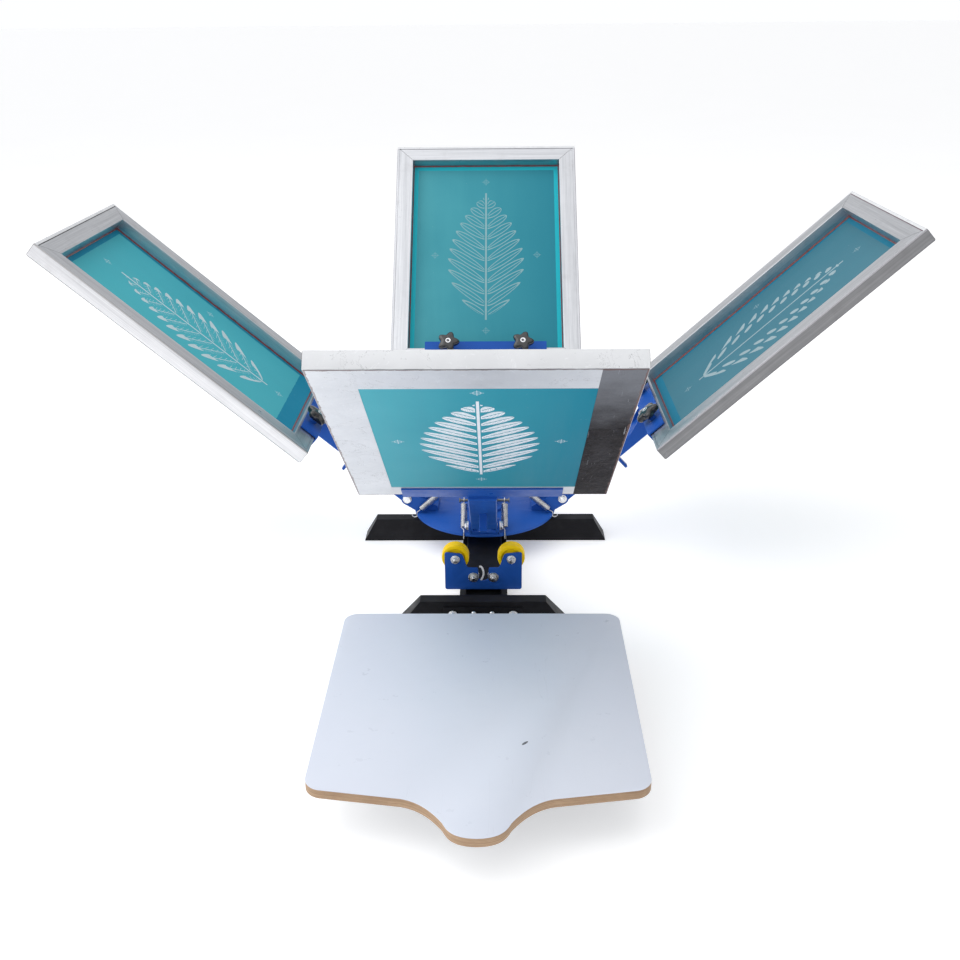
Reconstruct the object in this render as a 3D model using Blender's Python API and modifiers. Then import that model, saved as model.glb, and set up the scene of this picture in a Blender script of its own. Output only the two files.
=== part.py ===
# Tabletop screen printing carousel: four sprung screen heads on a turntable,
# one printing platen, and a registration gate with two guide rollers.
# Metres, +Z up. The turntable axis is vertical through the "press" empty, +Y
# points away from the printer, and the platen lies on the -Y side.
import math

import bmesh
import bpy
from mathutils import Matrix, Vector

# ---------------------------------------------------------------- dimensions
GAP = 0.0003                    # running gap between touching pieces

# place of the turntable axis, so that the origin is under the middle of the press
AXIS_X, AXIS_Y = 0.00762, 0.16991

# screens
FRAME_W = 0.457                 # across
FRAME_L = 0.624                 # from the clamp outwards
FRAME_T = 0.027                 # profile height
FRAME_B = 0.041                 # profile width
FRAME_WALL = 0.0022
MESH_T = 0.0005
MESH_INSET = 0.002

# heads: pivot place seen from the turntable axis, and the arm
PIVOT_R = 0.168
PIVOT_Z = 0.0895
ARM_REACH = 0.2507              # pivot to the hinge edge of the screen frame
SCREEN_DROP = -0.002            # underside of the screen below the pivot, lowered
RAISE = {"front": 38.5, "right": 42.5, "back": 46.5, "left": 41.0}
AZIMUTH = {"front": 180.0, "right": -90.0, "back": 0.0, "left": 90.0}
ARM_W, ARM_H, ARM_WALL = 0.054, 0.025, 0.003
CLAMP_HALF = 0.146
CLAMP_T = 0.003
CLAMP_LOW_DEPTH = 0.044
# per head: depth of the clamp's upper jaw, knob centre beyond the frame's end,
# and extra height of the threaded boss below the knob
JAW = {"front": (0.036, 0.018, 0.0), "right": (0.036, 0.018, 0.0),
       "back": (0.056, 0.038, 0.014), "left": (0.036, 0.018, 0.0)}
KNOB_X = 0.0885
TAIL_Y, TAIL_Z = -0.0423, 0.065  # spring rod, from the pivot, arm lowered
ROD_R, ROD_HALF = 0.003, 0.051
SPRING_X = 0.0425
SPRING_OD, SPRING_WIRE = 0.0120, 0.0022
HOOK_R = 0.1465                 # hook holes in the turntable

# turntable
DISC_R, DISC_T, DISC_TOP = 0.1535, 0.006, 0.0615
SHAFT_R = 0.015

# registration gate
GATE_Y, GATE_T = -0.3168, 0.004
ROLLER_R, ROLLER_L = 0.0265, 0.024
ROLLER_X, ROLLER_Z = 0.0541, 0.0882
BEARING_R, BEARING_L = 0.011, 0.007
BEARING_X, BEARING_Z = 0.0192, 0.0498
TONGUE_W, TONGUE_T = 0.0146, 0.006

# base
BEAM_W, BEAM_LOW, BEAM_TOP = 0.072, 0.0112, 0.0362
FOOT_TOP = 0.0455

# platen
PLATEN_BACK, PLATEN_FRONT, PLATEN_TIP = -0.5255, -1.0155, -1.110
PLATEN_HALF = 0.240
PLATEN_T, PLATEN_TOP = 0.015, 0.0845
ARM_TOP = 0.0205                # top of the bar that carries the platen

# -------------------------------------------------------------------- set-up
for old in list(bpy.data.objects):
    bpy.data.objects.remove(old, do_unlink=True)

parts = bpy.data.collections.new("screen_printing_carousel")
cutters = bpy.data.collections.new("cutters")
bpy.context.scene.collection.children.link(parts)
bpy.context.scene.collection.children.link(cutters)


def material(name, colour, rough, metal):
    m = bpy.data.materials.new(name)
    m.use_nodes = True
    b = m.node_tree.nodes["Principled BSDF"]
    b.inputs["Base Color"].default_value = (*colour, 1.0)
    b.inputs["Roughness"].default_value = rough
    b.inputs["Metallic"].default_value = metal
    return m


BLUE = ("blue_paint", (0.014, 0.068, 0.31), 0.35, 0.0)
BLACK = ("black_paint", (0.008, 0.008, 0.011), 0.4, 0.0)
ZINC = ("zinc_steel", (0.55, 0.56, 0.58), 0.35, 1.0)
ALU = ("aluminium", (0.60, 0.62, 0.66), 0.4, 1.0)
TEAL = ("stencil_mesh", (0.05, 0.38, 0.45), 0.5, 0.0)
YELLOW = ("yellow_roller", (0.80, 0.60, 0.01), 0.45, 0.0)
KNOB = ("black_plastic", (0.012, 0.012, 0.014), 0.35, 0.0)
BOARD = ("laminated_board", (0.72, 0.76, 0.82), 0.45, 0.0)


def give(ob, spec):
    m = material(ob.name + "_" + spec[0], *spec[1:])
    ob.data.materials.clear()
    ob.data.materials.append(m)


def raw(name, mesh):
    ob = bpy.data.objects.new(name, mesh)
    parts.objects.link(ob)
    return ob


def box(name, lo, hi):
    """Axis-aligned block between two corners."""
    bm = bmesh.new()
    bmesh.ops.create_cube(bm, size=1.0)
    size = [hi[i] - lo[i] for i in range(3)]
    mid = [(hi[i] + lo[i]) / 2 for i in range(3)]
    bmesh.ops.scale(bm, vec=size, verts=bm.verts)
    bmesh.ops.translate(bm, vec=mid, verts=bm.verts)
    me = bpy.data.meshes.new(name)
    bm.to_mesh(me)
    bm.free()
    return raw(name, me)


def taper_box(name, lo, hi, top_lo, top_hi):
    """Block whose top rectangle differs from its bottom one."""
    ob = box(name, lo, hi)
    mid = (lo[2] + hi[2]) / 2
    cx, cy = (lo[0] + hi[0]) / 2, (lo[1] + hi[1]) / 2
    for v in ob.data.vertices:
        if v.co.z > mid:
            v.co.x = top_hi[0] if v.co.x > cx else top_lo[0]
            v.co.y = top_hi[1] if v.co.y > cy else top_lo[1]
    return ob


TURN = {"x": Matrix.Rotation(math.pi / 2, 4, "Y"),
        "y": Matrix.Rotation(-math.pi / 2, 4, "X"),
        "z": Matrix.Identity(4)}


def cyl(name, r, a, b, at, axis="z", seg=32, r2=None):
    """Round bar from a to b along an axis; at holds the other two coordinates."""
    bm = bmesh.new()
    bmesh.ops.create_cone(bm, cap_ends=True, segments=seg, radius1=r,
                          radius2=r if r2 is None else r2, depth=b - a)
    bmesh.ops.translate(bm, vec=(0, 0, (a + b) / 2), verts=bm.verts)
    bmesh.ops.transform(bm, matrix=TURN[axis], verts=bm.verts)
    off = {"x": (0, at[0], at[1]), "y": (at[0], 0, at[1]), "z": (at[0], at[1], 0)}[axis]
    bmesh.ops.translate(bm, vec=off, verts=bm.verts)
    bmesh.ops.recalc_face_normals(bm, faces=bm.faces)
    me = bpy.data.meshes.new(name)
    bm.to_mesh(me)
    bm.free()
    return raw(name, me)


def freeze(ob):
    """Turns an object's evaluated shape into its mesh and drops its modifiers."""
    deps = bpy.context.evaluated_depsgraph_get()
    deps.update()
    me = bpy.data.meshes.new_from_object(ob.evaluated_get(deps))
    if ob.type == "MESH":
        ob.modifiers.clear()
        ob.data = me
        return ob
    bm = bmesh.new()
    bm.from_mesh(me)
    bmesh.ops.remove_doubles(bm, verts=bm.verts, dist=0.00002)
    bmesh.ops.recalc_face_normals(bm, faces=bm.faces)
    bm.to_mesh(me)
    bm.free()
    name, world = ob.name, ob.matrix_world.copy()
    bpy.data.objects.remove(ob, do_unlink=True)
    new = raw(name, me)
    new.matrix_world = world
    return new


def boolean(ob, tool, how):
    """Joins or cuts with another object, which is used up."""
    mod = ob.modifiers.new(how, "BOOLEAN")
    mod.operation = how
    mod.solver = "EXACT"
    mod.object = tool
    freeze(ob)
    bpy.data.objects.remove(tool, do_unlink=True)
    return ob


def join(ob, *tools):
    for t in tools:
        boolean(ob, t, "UNION")
    return ob


def cut(ob, *tools):
    for t in tools:
        boolean(ob, t, "DIFFERENCE")
    return ob


def group(name, obs):
    """Gathers separate cutters, such as a ring of hole cutters, in one object."""
    bm = bmesh.new()
    for o in obs:
        bm.from_mesh(o.data)
    me = bpy.data.meshes.new(name)
    bm.to_mesh(me)
    bm.free()
    for o in obs:
        bpy.data.objects.remove(o, do_unlink=True)
    return raw(name, me)


def bevel(ob, width, seg=1, angle=40):
    mod = ob.modifiers.new("edges", "BEVEL")
    mod.width = width
    mod.segments = seg
    mod.limit_method = "ANGLE"
    mod.angle_limit = math.radians(angle)
    return freeze(ob)


def smooth(ob, angle=35):
    ob.data.shade_smooth()
    ob.data.set_sharp_from_angle(angle=math.radians(angle))
    return ob


def outline(name, pts, a, b, plane="xy"):
    """Flat outline extruded from a to b: along Z for xy, along X for yz, along Y for xz."""
    cu = bpy.data.curves.new(name, "CURVE")
    cu.dimensions = "2D"
    cu.fill_mode = "BOTH"
    cu.extrude = (b - a) / 2
    sp = cu.splines.new("POLY")
    sp.points.add(len(pts) - 1)
    for p, (x, y) in zip(sp.points, pts):
        p.co = (x, y, 0, 1)
    sp.use_cyclic_u = True
    cu.resolution_u = 1
    cu.render_resolution_u = 0
    ob = bpy.data.objects.new(name, cu)
    parts.objects.link(ob)
    ob = freeze(ob)
    turn = {"xy": Matrix.Identity(4),
            "yz": Matrix(((0, 0, 1, 0), (1, 0, 0, 0), (0, 1, 0, 0), (0, 0, 0, 1))),
            "xz": Matrix(((1, 0, 0, 0), (0, 0, -1, 0), (0, 1, 0, 0), (0, 0, 0, 1)))}[plane]
    shift = {"xy": (0, 0, (a + b) / 2), "yz": ((a + b) / 2, 0, 0), "xz": (0, (a + b) / 2, 0)}[plane]
    ob.data.transform(Matrix.Translation(shift) @ turn)
    bm = bmesh.new()
    bm.from_mesh(ob.data)
    bmesh.ops.recalc_face_normals(bm, faces=bm.faces)
    bm.to_mesh(ob.data)
    bm.free()
    return ob


def hexagon(name, flats, a, b, at, axis):
    return cyl(name, flats / math.sqrt(3), a, b, at, axis, seg=6)


def empty(name, parent=None):
    e = bpy.data.objects.new(name, None)
    e.empty_display_size = 0.05
    parts.objects.link(e)
    e.parent = parent
    return e


def place(ob, spec, parent, sharp=35):
    give(ob, spec)
    smooth(ob, sharp)
    ob.parent = parent
    return ob


press = empty("press")
press.location = (AXIS_X, AXIS_Y, 0.0)
turntable = empty("turntable_axis", press)

# ---------------------------------------------------------------------- base
# Feet: folded covers with slanted ends, open below.
rear = taper_box("rear_foot", (-0.262, -0.053, 0.0), (0.262, -0.001, FOOT_TOP),
                 (-0.236, -0.042), (0.236, -0.012))
rear_in = taper_box("rear_in", (-0.257, -0.0488, -0.002), (0.257, -0.0052, FOOT_TOP - 0.0040),
                    (-0.2335, -0.0388), (0.2335, -0.0152))
bevel(rear, 0.0012, 2)
cut(rear, rear_in,
    box("rear_notch", (-BEAM_W / 2 - 0.0105 - GAP, -0.08, -0.01),
        (BEAM_W / 2 + 0.0105 + GAP, 0.02, BEAM_LOW + GAP)),
    box("rear_notch2", (-BEAM_W / 2 - GAP, -0.08, 0.005),
        (BEAM_W / 2 + GAP, 0.02, BEAM_TOP + GAP)))
place(rear, BLACK, press)

front = taper_box("front_foot", (-0.156, -0.422, 0.0), (0.156, -0.374, FOOT_TOP),
                  (-0.118, -0.412), (0.118, -0.384))
front_in = taper_box("front_in", (-0.151, -0.4178, -0.002), (0.151, -0.3782, FOOT_TOP - 0.004),
                     (-0.1155, -0.4088), (0.1155, -0.3872))
bevel(front, 0.0012, 2)
cut(front, front_in,
    box("front_notch", (-BEAM_W / 2 - 0.0105 - GAP, -0.40, -0.01),
        (BEAM_W / 2 + 0.0105 + GAP, -0.36, BEAM_LOW + GAP)),
    )
place(front, BLACK, press)

# Beam: rectangular tube on a wide flat strip.
beam = box("base_beam", (-BEAM_W / 2, GATE_Y + GAP, BEAM_LOW - 0.001), (BEAM_W / 2, 0.062, BEAM_TOP))
beam = bevel(beam, 0.003, 2)
cut(beam, box("beam_bore", (-BEAM_W / 2 + 0.003, GATE_Y - 0.01, BEAM_LOW + 0.002),
              (BEAM_W / 2 - 0.003, 0.08, BEAM_TOP - 0.003)))
join(beam, box("beam_strip", (-BEAM_W / 2 - 0.0105, -0.398, 0.0045), (BEAM_W / 2 + 0.0105, 0.062, BEAM_LOW)))
place(beam, BLACK, press)

# Spindle: base block and shaft with a turned-down top.
spindle = box("spindle", (-0.034, -0.0088, BEAM_TOP + GAP), (0.034, 0.060, 0.0505))
join(spindle, cyl("sp1", SHAFT_R, 0.0485, 0.108, (0, 0), seg=32),
     cyl("sp2", 0.010, 0.100, 0.126, (0, 0), seg=16))
place(spindle, ZINC, press)

thrust = cyl("thrust_bearing", 0.031, 0.0508, DISC_TOP - DISC_T - GAP, (0, 0), seg=32)
cut(thrust, cyl("tb", SHAFT_R + 0.0004, 0.04, 0.07, (0, 0), seg=32))
place(thrust, ZINC, press)

nut = hexagon("spindle_nut", 0.030, 0.1115, 0.1235, (0, 0), "z")
nut = bevel(nut, 0.0008, 1)
join(nut, cyl("washer", 0.0205, 0.1083, 0.1118, (0, 0), seg=24))
cut(nut, cyl("nb", 0.0104, 0.09, 0.14, (0, 0), seg=16))
place(nut, ZINC, press)

# Registration gate: upright plate with two ears and a low middle.
half, low, ear = 0.0745, 0.0695, 0.1023
right_side = [(half, 0.0233), (half, ear - 0.002), (half - 0.002, ear), (0.0405, ear - 0.004),
              (0.0385, ear - 0.007), (0.0325, low + 0.004), (0.0285, low), (0.0125, low),
              (0.0102, 0.0655), (0.0098, 0.0470), (0.0060, 0.0438), (0.0, 0.0412)]
corner = [(half - 0.0045 + 0.0045 * math.sin(math.radians(a)), 0.0233 + 0.0045 - 0.0045 * math.cos(math.radians(a)))
          for a in (0, 30, 60, 90)]
right_side = corner + right_side[1:]
gate_pts = right_side + [(-x, z) for x, z in reversed(right_side[:-1])]
gate = outline("gate_plate", gate_pts, GATE_Y - GATE_T, GATE_Y, "xz")
gate = bevel(gate, 0.0006, 1, 60)
cut(gate, *[cyl("gh", 0.0043, -0.34, -0.30, (sx * ROLLER_X, ROLLER_Z), "y", 16) for sx in (-1, 1)],
    *[cyl("gh", 0.0035, -0.34, -0.30, (sx * BEARING_X, BEARING_Z), "y", 16) for sx in (-1, 1)])
place(gate, BLUE, press)

# Axle bolts of the rollers and of the bearings, each with its washer and nut.
for side, sx in (("left", -1), ("right", 1)):
    x, z = sx * ROLLER_X, ROLLER_Z
    y0 = GATE_Y - GATE_T - GAP
    b = cyl("roller_bolt_" + side, 0.0040, GATE_Y - GATE_T - 0.003, GATE_Y + ROLLER_L + 0.0055, (x, z), "y", 16)
    join(b, hexagon("h", 0.013, y0 - 0.0058, y0, (x, z), "y"),
         hexagon("h", 0.013, GATE_Y + ROLLER_L + 0.0018, GATE_Y + ROLLER_L + 0.0075, (x, z), "y"))
    place(b, ZINC, press)
    x, z = sx * BEARING_X, BEARING_Z
    b = cyl("bearing_bolt_" + side, 0.0032, GATE_Y - GATE_T - 0.003, GATE_Y + BEARING_L + 0.0045, (x, z), "y", 16)
    join(b, cyl("w", 0.0102, y0 - 0.0014, y0, (x, z), "y", 24),
         hexagon("h", 0.0112, y0 - 0.0062, y0 - 0.001, (x, z), "y"),
         hexagon("h", 0.0100, GATE_Y + BEARING_L + 0.0014, GATE_Y + BEARING_L + 0.0055, (x, z), "y"))
    place(b, ZINC, press)

for side, sx in (("left", -1), ("right", 1)):
    piv = empty("roller_axis_" + side, press)
    piv.location = (sx * ROLLER_X, GATE_Y + 0.0009 + ROLLER_L / 2, ROLLER_Z)
    r = cyl("guide_roller_" + side, ROLLER_R, -ROLLER_L / 2, ROLLER_L / 2, (0, 0), "y", 32)
    r = bevel(r, 0.0018, 1)
    cut(r, cyl("c", 0.0165, ROLLER_L / 2 - 0.003, 0.03, (0, 0), "y", 24),
        cyl("c", 0.0165, -0.03, -ROLLER_L / 2 + 0.003, (0, 0), "y", 24),
        cyl("c", 0.0045, -0.03, 0.03, (0, 0), "y", 16))
    place(r, YELLOW, piv)
    piv = empty("bearing_axis_" + side, press)
    piv.location = (sx * BEARING_X, GATE_Y + 0.0007 + BEARING_L / 2, BEARING_Z)
    r = cyl("gate_bearing_" + side, BEARING_R, -BEARING_L / 2, BEARING_L / 2, (0, 0), "y", 24)
    r = bevel(r, 0.0006, 1)
    cut(r, cyl("c", 0.0037, -0.03, 0.03, (0, 0), "y", 12))
    place(r, ZINC, piv)

# Platen support and platen. The arm's end flange lies on the sloping front
# face of the front foot, held by two bolts and two screws.
def foot_face(z):
    return -0.422 + 0.010 * z / FOOT_TOP - GAP


arm = box("platen_arm", (-0.044, -0.880, 0.0060), (0.044, -0.4212, ARM_TOP))
flange = outline("flange", [(foot_face(z) - d, z) for z, d in ((0.004, 0), (0.036, 0), (0.036, 0.004), (0.004, 0.004))],
                 -0.074, 0.074, "yz")
join(arm, flange)
for x in (-0.0564, 0.0564):
    join(arm, cyl("w", 0.0088, -0.4235, -0.4205, (x, 0.0235), "y", 20),
         cyl("h", 0.0064, -0.4285, -0.4225, (x, 0.0235), "y", 16))
for x in (-0.0172, 0.0172):
    join(arm, cyl("h", 0.0046, -0.4250, -0.4205, (x, 0.0262), "y", 12))
place(arm, BLACK, press)

bracket = box("platen_bracket", (-0.110, -0.860, ARM_TOP + GAP), (0.110, -0.560, PLATEN_TOP - PLATEN_T - GAP))
cut(bracket, box("c", (-0.1065, -0.870, ARM_TOP + 0.0040), (0.1065, -0.550, PLATEN_TOP - PLATEN_T - 0.0040)))
place(bevel(bracket, 0.0012, 1), BLACK, press)


def arc(cx, cy, r, a0, a1, n):
    return [(cx + r * math.cos(math.radians(a0 + (a1 - a0) * i / n)),
             cy + r * math.sin(math.radians(a0 + (a1 - a0) * i / n))) for i in range(n + 1)]


def bezier(p0, p1, p2, p3, n):
    out = []
    for i in range(1, n):
        t = i / n
        out.append(tuple((1 - t) ** 3 * a + 3 * (1 - t) ** 2 * t * b + 3 * (1 - t) * t * t * c + t ** 3 * d
                         for a, b, c, d in zip(p0, p1, p2, p3)))
    return out


# Platen outline: rounded rectangle with a collar tongue at the printer's end.
PH = PLATEN_HALF
right = arc(PH - 0.024, PLATEN_BACK - 0.024, 0.024, 90, 0, 5)
right += arc(PH - 0.028, PLATEN_FRONT + 0.030, 0.028, 0, -84, 5)
shoulder = (0.104, PLATEN_FRONT - 0.0155)
neck = (0.0455, PLATEN_TIP + 0.030)
right += [shoulder] + bezier(shoulder, (0.078, PLATEN_FRONT - 0.022), (0.060, PLATEN_TIP + 0.052), neck, 6)
right += [neck] + bezier(neck, (0.039, PLATEN_TIP + 0.014), (0.030, PLATEN_TIP + 0.001), (0.0, PLATEN_TIP), 7)
platen_pts = right + [(0.0, PLATEN_TIP)] + [(-x, y) for x, y in reversed(right)]
platen = outline("platen", platen_pts, PLATEN_TOP - PLATEN_T, PLATEN_TOP, "xy")
place(bevel(platen, 0.0009, 1, 50), BOARD, press)

# ----------------------------------------------------------------- turntable
disc = cyl("turntable_disc", DISC_R, DISC_TOP - DISC_T, DISC_TOP, (0, 0), seg=60)
disc = bevel(disc, 0.0008, 1)
holes = [cyl("c", SHAFT_R + 0.0006, 0.04, 0.08, (0, 0), seg=32)]
for name, az in AZIMUTH.items():
    rot = Matrix.Rotation(math.radians(az), 4, "Z")
    for sx in (-1, 1):
        p = rot @ Vector((sx * SPRING_X, HOOK_R, 0))
        holes.append(cyl("c", 0.0032, 0.04, 0.08, (p.x, p.y), seg=8))
holes = group("holes", holes)
cut(disc, holes)
place(disc, BLUE, turntable)

hub = cyl("turntable_hub", 0.0285, DISC_TOP + GAP, 0.1075, (0, 0), seg=32)
hub = bevel(hub, 0.001, 1)
join(hub, cyl("hf", 0.046, DISC_TOP + GAP, DISC_TOP + 0.006, (0, 0), seg=32))
cut(hub, cyl("c", SHAFT_R + 0.0006, 0.04, 0.13, (0, 0), seg=32))
place(hub, BLUE, turntable)

# --------------------------------------------------------------------- heads
def ear_plate(name, x0, x1):
    """Side plate of the hinge bracket, in the plane of the arm's swing."""
    y0, y1, z0 = 0.102 - PIVOT_R, 0.1495 - PIVOT_R, DISC_TOP + GAP - PIVOT_Z
    pts = [(y0, z0), (y1, z0)] + arc(0, 0, 0.0135, -50, 118, 7) + [(-0.030, 0.004), (y0, z0 + 0.010)]
    return outline(name, pts, x0, x1, "yz")


def tail_plate(name, x0, x1):
    """Side plate of the arm, from the pivot up to the spring rod."""
    a = math.degrees(math.atan2(TAIL_Z, TAIL_Y))
    pts = arc(TAIL_Y, TAIL_Z, 0.008, a - 80, a + 95, 5)
    pts += arc(0, 0, 0.0122, a + 85, 268, 4)
    pts += [(0.070, -0.0122), (0.070, 0.0105), (0.034, 0.0125)]
    return outline(name, pts, x0, x1, "yz")


def spring(name, sx, th):
    """Close-wound extension spring between its hook hole and the rod, at rest."""
    c, s = math.cos(th), math.sin(th)
    top = Vector((sx * SPRING_X, PIVOT_R + TAIL_Y * c - TAIL_Z * s, PIVOT_Z + TAIL_Y * s + TAIL_Z * c))
    foot = Vector((sx * SPRING_X, HOOK_R, DISC_TOP + 0.0012))
    u = (top - foot).normalized()
    side = Vector((1, 0, 0))
    w = u.cross(side).normalized()
    length = (top - foot).length
    rc = (SPRING_OD - SPRING_WIRE) / 2
    wire = SPRING_WIRE / 2
    loop = 0.0052 + wire            # loop round the rod
    start, end = 0.0135, length - loop - 0.0046
    turns, per = 6, 6
    pts = []
    # lower hook: down through the turntable and up again outside its rim
    below = DISC_TOP - DISC_T - 0.0028
    pts.append(Vector((foot.x, DISC_R + 0.0026, DISC_TOP - DISC_T + 0.001)))
    pts.append(Vector((foot.x, DISC_R + 0.0022, DISC_TOP - DISC_T - 0.0012)))
    pts.append(Vector((foot.x, (HOOK_R + DISC_R) / 2 + 0.001, below - 0.0006)))
    pts.append(Vector((foot.x, HOOK_R + 0.0002, below + 0.0008)))
    pts.append(Vector((foot.x, HOOK_R, DISC_TOP - DISC_T / 2)))
    pts.append(Vector((foot.x, HOOK_R - 0.0002, DISC_TOP + 0.003)))
    pts.append(foot + u * 0.0065)
    for i in range(turns * per + 1):
        a = 2 * math.pi * i / per
        pts.append(foot + u * (start + (end - start) * i / (turns * per))
                   + rc * (math.cos(a) * side + math.sin(a) * w))
    # upper loop round the rod, open towards the coil
    for k in range(7):
        a = math.radians(-60 + 300 * k / 6)
        pts.append(top + loop * (math.cos(a + math.pi / 2 + math.pi) * u + math.sin(a + math.pi / 2 + math.pi) * w))
    cu = bpy.data.curves.new(name, "CURVE")
    cu.dimensions = "3D"
    cu.bevel_depth = wire
    cu.bevel_resolution = 0
    cu.use_fill_caps = True
    cu.render_resolution_u = 0
    sp = cu.splines.new("POLY")
    sp.points.add(len(pts) - 1)
    for p, q in zip(sp.points, pts):
        p.co = (*q, 1)
    ob = bpy.data.objects.new(name, cu)
    parts.objects.link(ob)
    return freeze(ob)


def star_knob(name, boss):
    """Five-lobed clamping knob with its screw, origin on the clamp's top face."""
    n = 35
    pts = []
    for i in range(n):
        a = 2 * math.pi * i / n
        r = 0.0225 + 0.0045 * math.cos(5 * a)
        pts.append((r * math.cos(a), r * math.sin(a)))
    k = outline(name, pts, 0.0105, 0.0245, "xy")
    k = bevel(k, 0.0024, 1, 72)
    join(k, cyl("neck", 0.0105, 0.0078, 0.0115, (0, 0), seg=12),
         cyl("cap", 0.0125, 0.0235, 0.0268, (0, 0), seg=15, r2=0.0105),
         cyl("screw", 0.0040, -CLAMP_T - 0.0011 - boss, 0.0095, (0, 0), seg=10))
    return k


knob_mesh = None
frame_mesh = None
for name in ("front", "right", "back", "left"):
    th = math.radians(RAISE[name])
    head = empty("head_" + name, turntable)         # turned to the head's station
    head.rotation_euler = (0, 0, math.radians(AZIMUTH[name]))
    pivot = empty("pivot_" + name, head)            # on the hinge axis, raised
    pivot.location = (0, PIVOT_R, PIVOT_Z)
    pivot.rotation_euler = (th, 0, 0)

    # hinge bracket on the turntable
    inner = ARM_W / 2 + 0.0006
    br = outline("hinge_bracket_" + name,
                 [(-inner - 0.002, 0.102), (inner + 0.002, 0.102), (inner + 0.002, 0.1495), (-inner - 0.002, 0.1495)],
                 DISC_TOP + GAP, DISC_TOP + 0.0043, "xy")
    br.data.transform(Matrix.Translation((0, -PIVOT_R, -PIVOT_Z)))
    join(br, ear_plate("e", inner, inner + 0.004), ear_plate("e", -inner - 0.004, -inner))
    cut(br, cyl("c", 0.0054, -0.05, 0.05, (0, 0), "x", 12))
    for sx in (-1, 1):                          # four bolt heads on the base
        for y in (0.112, 0.136):
            join(br, hexagon("h", 0.010, DISC_TOP + 0.0038 - PIVOT_Z, DISC_TOP + 0.0088 - PIVOT_Z,
                             (sx * 0.019, y - PIVOT_R), "z"))
    br.location = (0, PIVOT_R, PIVOT_Z)
    place(br, BLUE, head)

    # pivot bolt with washers and nut
    xo = inner + 0.004 + GAP
    pb = cyl("pivot_bolt_" + name, 0.0050, -xo - 0.002, xo + 0.007, (0, 0), "x", 12)
    join(pb, hexagon("h", 0.015, -xo - 0.0062, -xo - 0.0012, (0, 0), "x"),
         cyl("w", 0.0095, -xo - 0.0015, -xo, (0, 0), "x", 16),
         hexagon("h", 0.015, xo + 0.0012, xo + 0.0062, (0, 0), "x"),
         cyl("w", 0.0095, xo, xo + 0.0015, (0, 0), "x", 16))
    pb.location = (0, PIVOT_R, PIVOT_Z)
    place(pb, ZINC, head)

    # arm: tube, tail plates and the welded screen clamp
    k, e = ARM_REACH, SCREEN_DROP
    web0, web1 = k - 0.0045, k - 0.0015
    ca = box("clamp_arm_" + name, (-ARM_W / 2, 0.015, -ARM_H / 2), (ARM_W / 2, web0 + 0.0012, ARM_H / 2))
    ca = bevel(ca, 0.0022, 1)
    cut(ca, box("c", (-ARM_W / 2 + ARM_WALL, -0.05, -ARM_H / 2 + ARM_WALL),
                (ARM_W / 2 - ARM_WALL, web0 - 0.006, ARM_H / 2 - ARM_WALL)))
    join(ca, tail_plate("t", ARM_W / 2 - ARM_WALL - 0.0002, ARM_W / 2 - 0.0002),
         tail_plate("t", -ARM_W / 2 + 0.0002, -ARM_W / 2 + ARM_WALL + 0.0002))
    flange_low = e - GAP - CLAMP_T
    flange_top = e + MESH_T + GAP + FRAME_T + 0.0015
    jaw, reach, boss = JAW[name]
    knob_y = k + reach
    # clamp: a C section along X
    sec = [(web0, flange_low), (k + CLAMP_LOW_DEPTH, flange_low), (k + CLAMP_LOW_DEPTH, flange_low + CLAMP_T),
           (web1, flange_low + CLAMP_T), (web1, flange_top), (k + jaw, flange_top),
           (k + jaw, flange_top + CLAMP_T), (web0, flange_top + CLAMP_T)]
    clamp = outline("clamp", sec, -CLAMP_HALF, CLAMP_HALF, "yz")
    join(ca, clamp)
    # gussets between tube and web, and the locating tongue
    for sx in (-1, 1):
        g = outline("g", [(web0 + 0.001, 0.0), (web0 + 0.001, flange_top + CLAMP_T - 0.001), (web0 - 0.045, 0.0118),
                          (web0 - 0.045, 0.0)],
                    sx * (ARM_W / 2 - 0.0018) - 0.0015, sx * (ARM_W / 2 - 0.0018) + 0.0015, "yz")
        join(ca, g)
        join(ca, hexagon("wn", 0.013, flange_top + CLAMP_T - 0.0005, flange_top + CLAMP_T + 0.0055 + boss,
                         (sx * KNOB_X, knob_y), "z"))
    tongue = box("tongue", (-TONGUE_W / 2, -GATE_Y - 0.0041 - TONGUE_T - PIVOT_R + 0.003, -0.0475),
                 (TONGUE_W / 2, -GATE_Y - 0.0041 - PIVOT_R + 0.003, -0.011))
    join(ca, bevel(tongue, 0.0012, 1))
    cut(ca, cyl("c", 0.0054, -0.05, 0.05, (0, 0), "x", 16),
        cyl("c", ROD_R + GAP + 0.0001, -0.06, 0.06, (TAIL_Y, TAIL_Z), "x", 12),
        *[cyl("c", 0.0044, flange_top - 0.004, flange_top + 0.02 + boss, (sx * KNOB_X, knob_y), "z", 12) for sx in (-1, 1)])
    place(ca, BLUE, pivot)

    rod = cyl("spring_rod_" + name, ROD_R, -ROD_HALF, ROD_HALF, (TAIL_Y, TAIL_Z), "x", 12)
    join(rod, cyl("r", 0.0055, -ROD_HALF - 0.002, -ROD_HALF + 0.0005, (TAIL_Y, TAIL_Z), "x", 12),
         cyl("r", 0.0055, ROD_HALF - 0.0005, ROD_HALF + 0.002, (TAIL_Y, TAIL_Z), "x", 12))
    place(rod, ZINC, pivot)

    for side, sx in (("left", -1), ("right", 1)):
        place(spring("spring_%s_%s" % (name, side), sx, th), ZINC, head, 60)

    # knobs
    for side, sx in (("left", -1), ("right", 1)):
        if knob_mesh is None or boss:
            kn = star_knob("knob_%s_%s" % (name, side), boss)
            smooth(kn)
            if not boss:
                knob_mesh = kn.data
        else:
            kn = raw("knob_%s_%s" % (name, side), knob_mesh.copy())
        kn.location = (sx * KNOB_X, knob_y, flange_top + CLAMP_T + boss)
        place(kn, KNOB, pivot)

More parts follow.
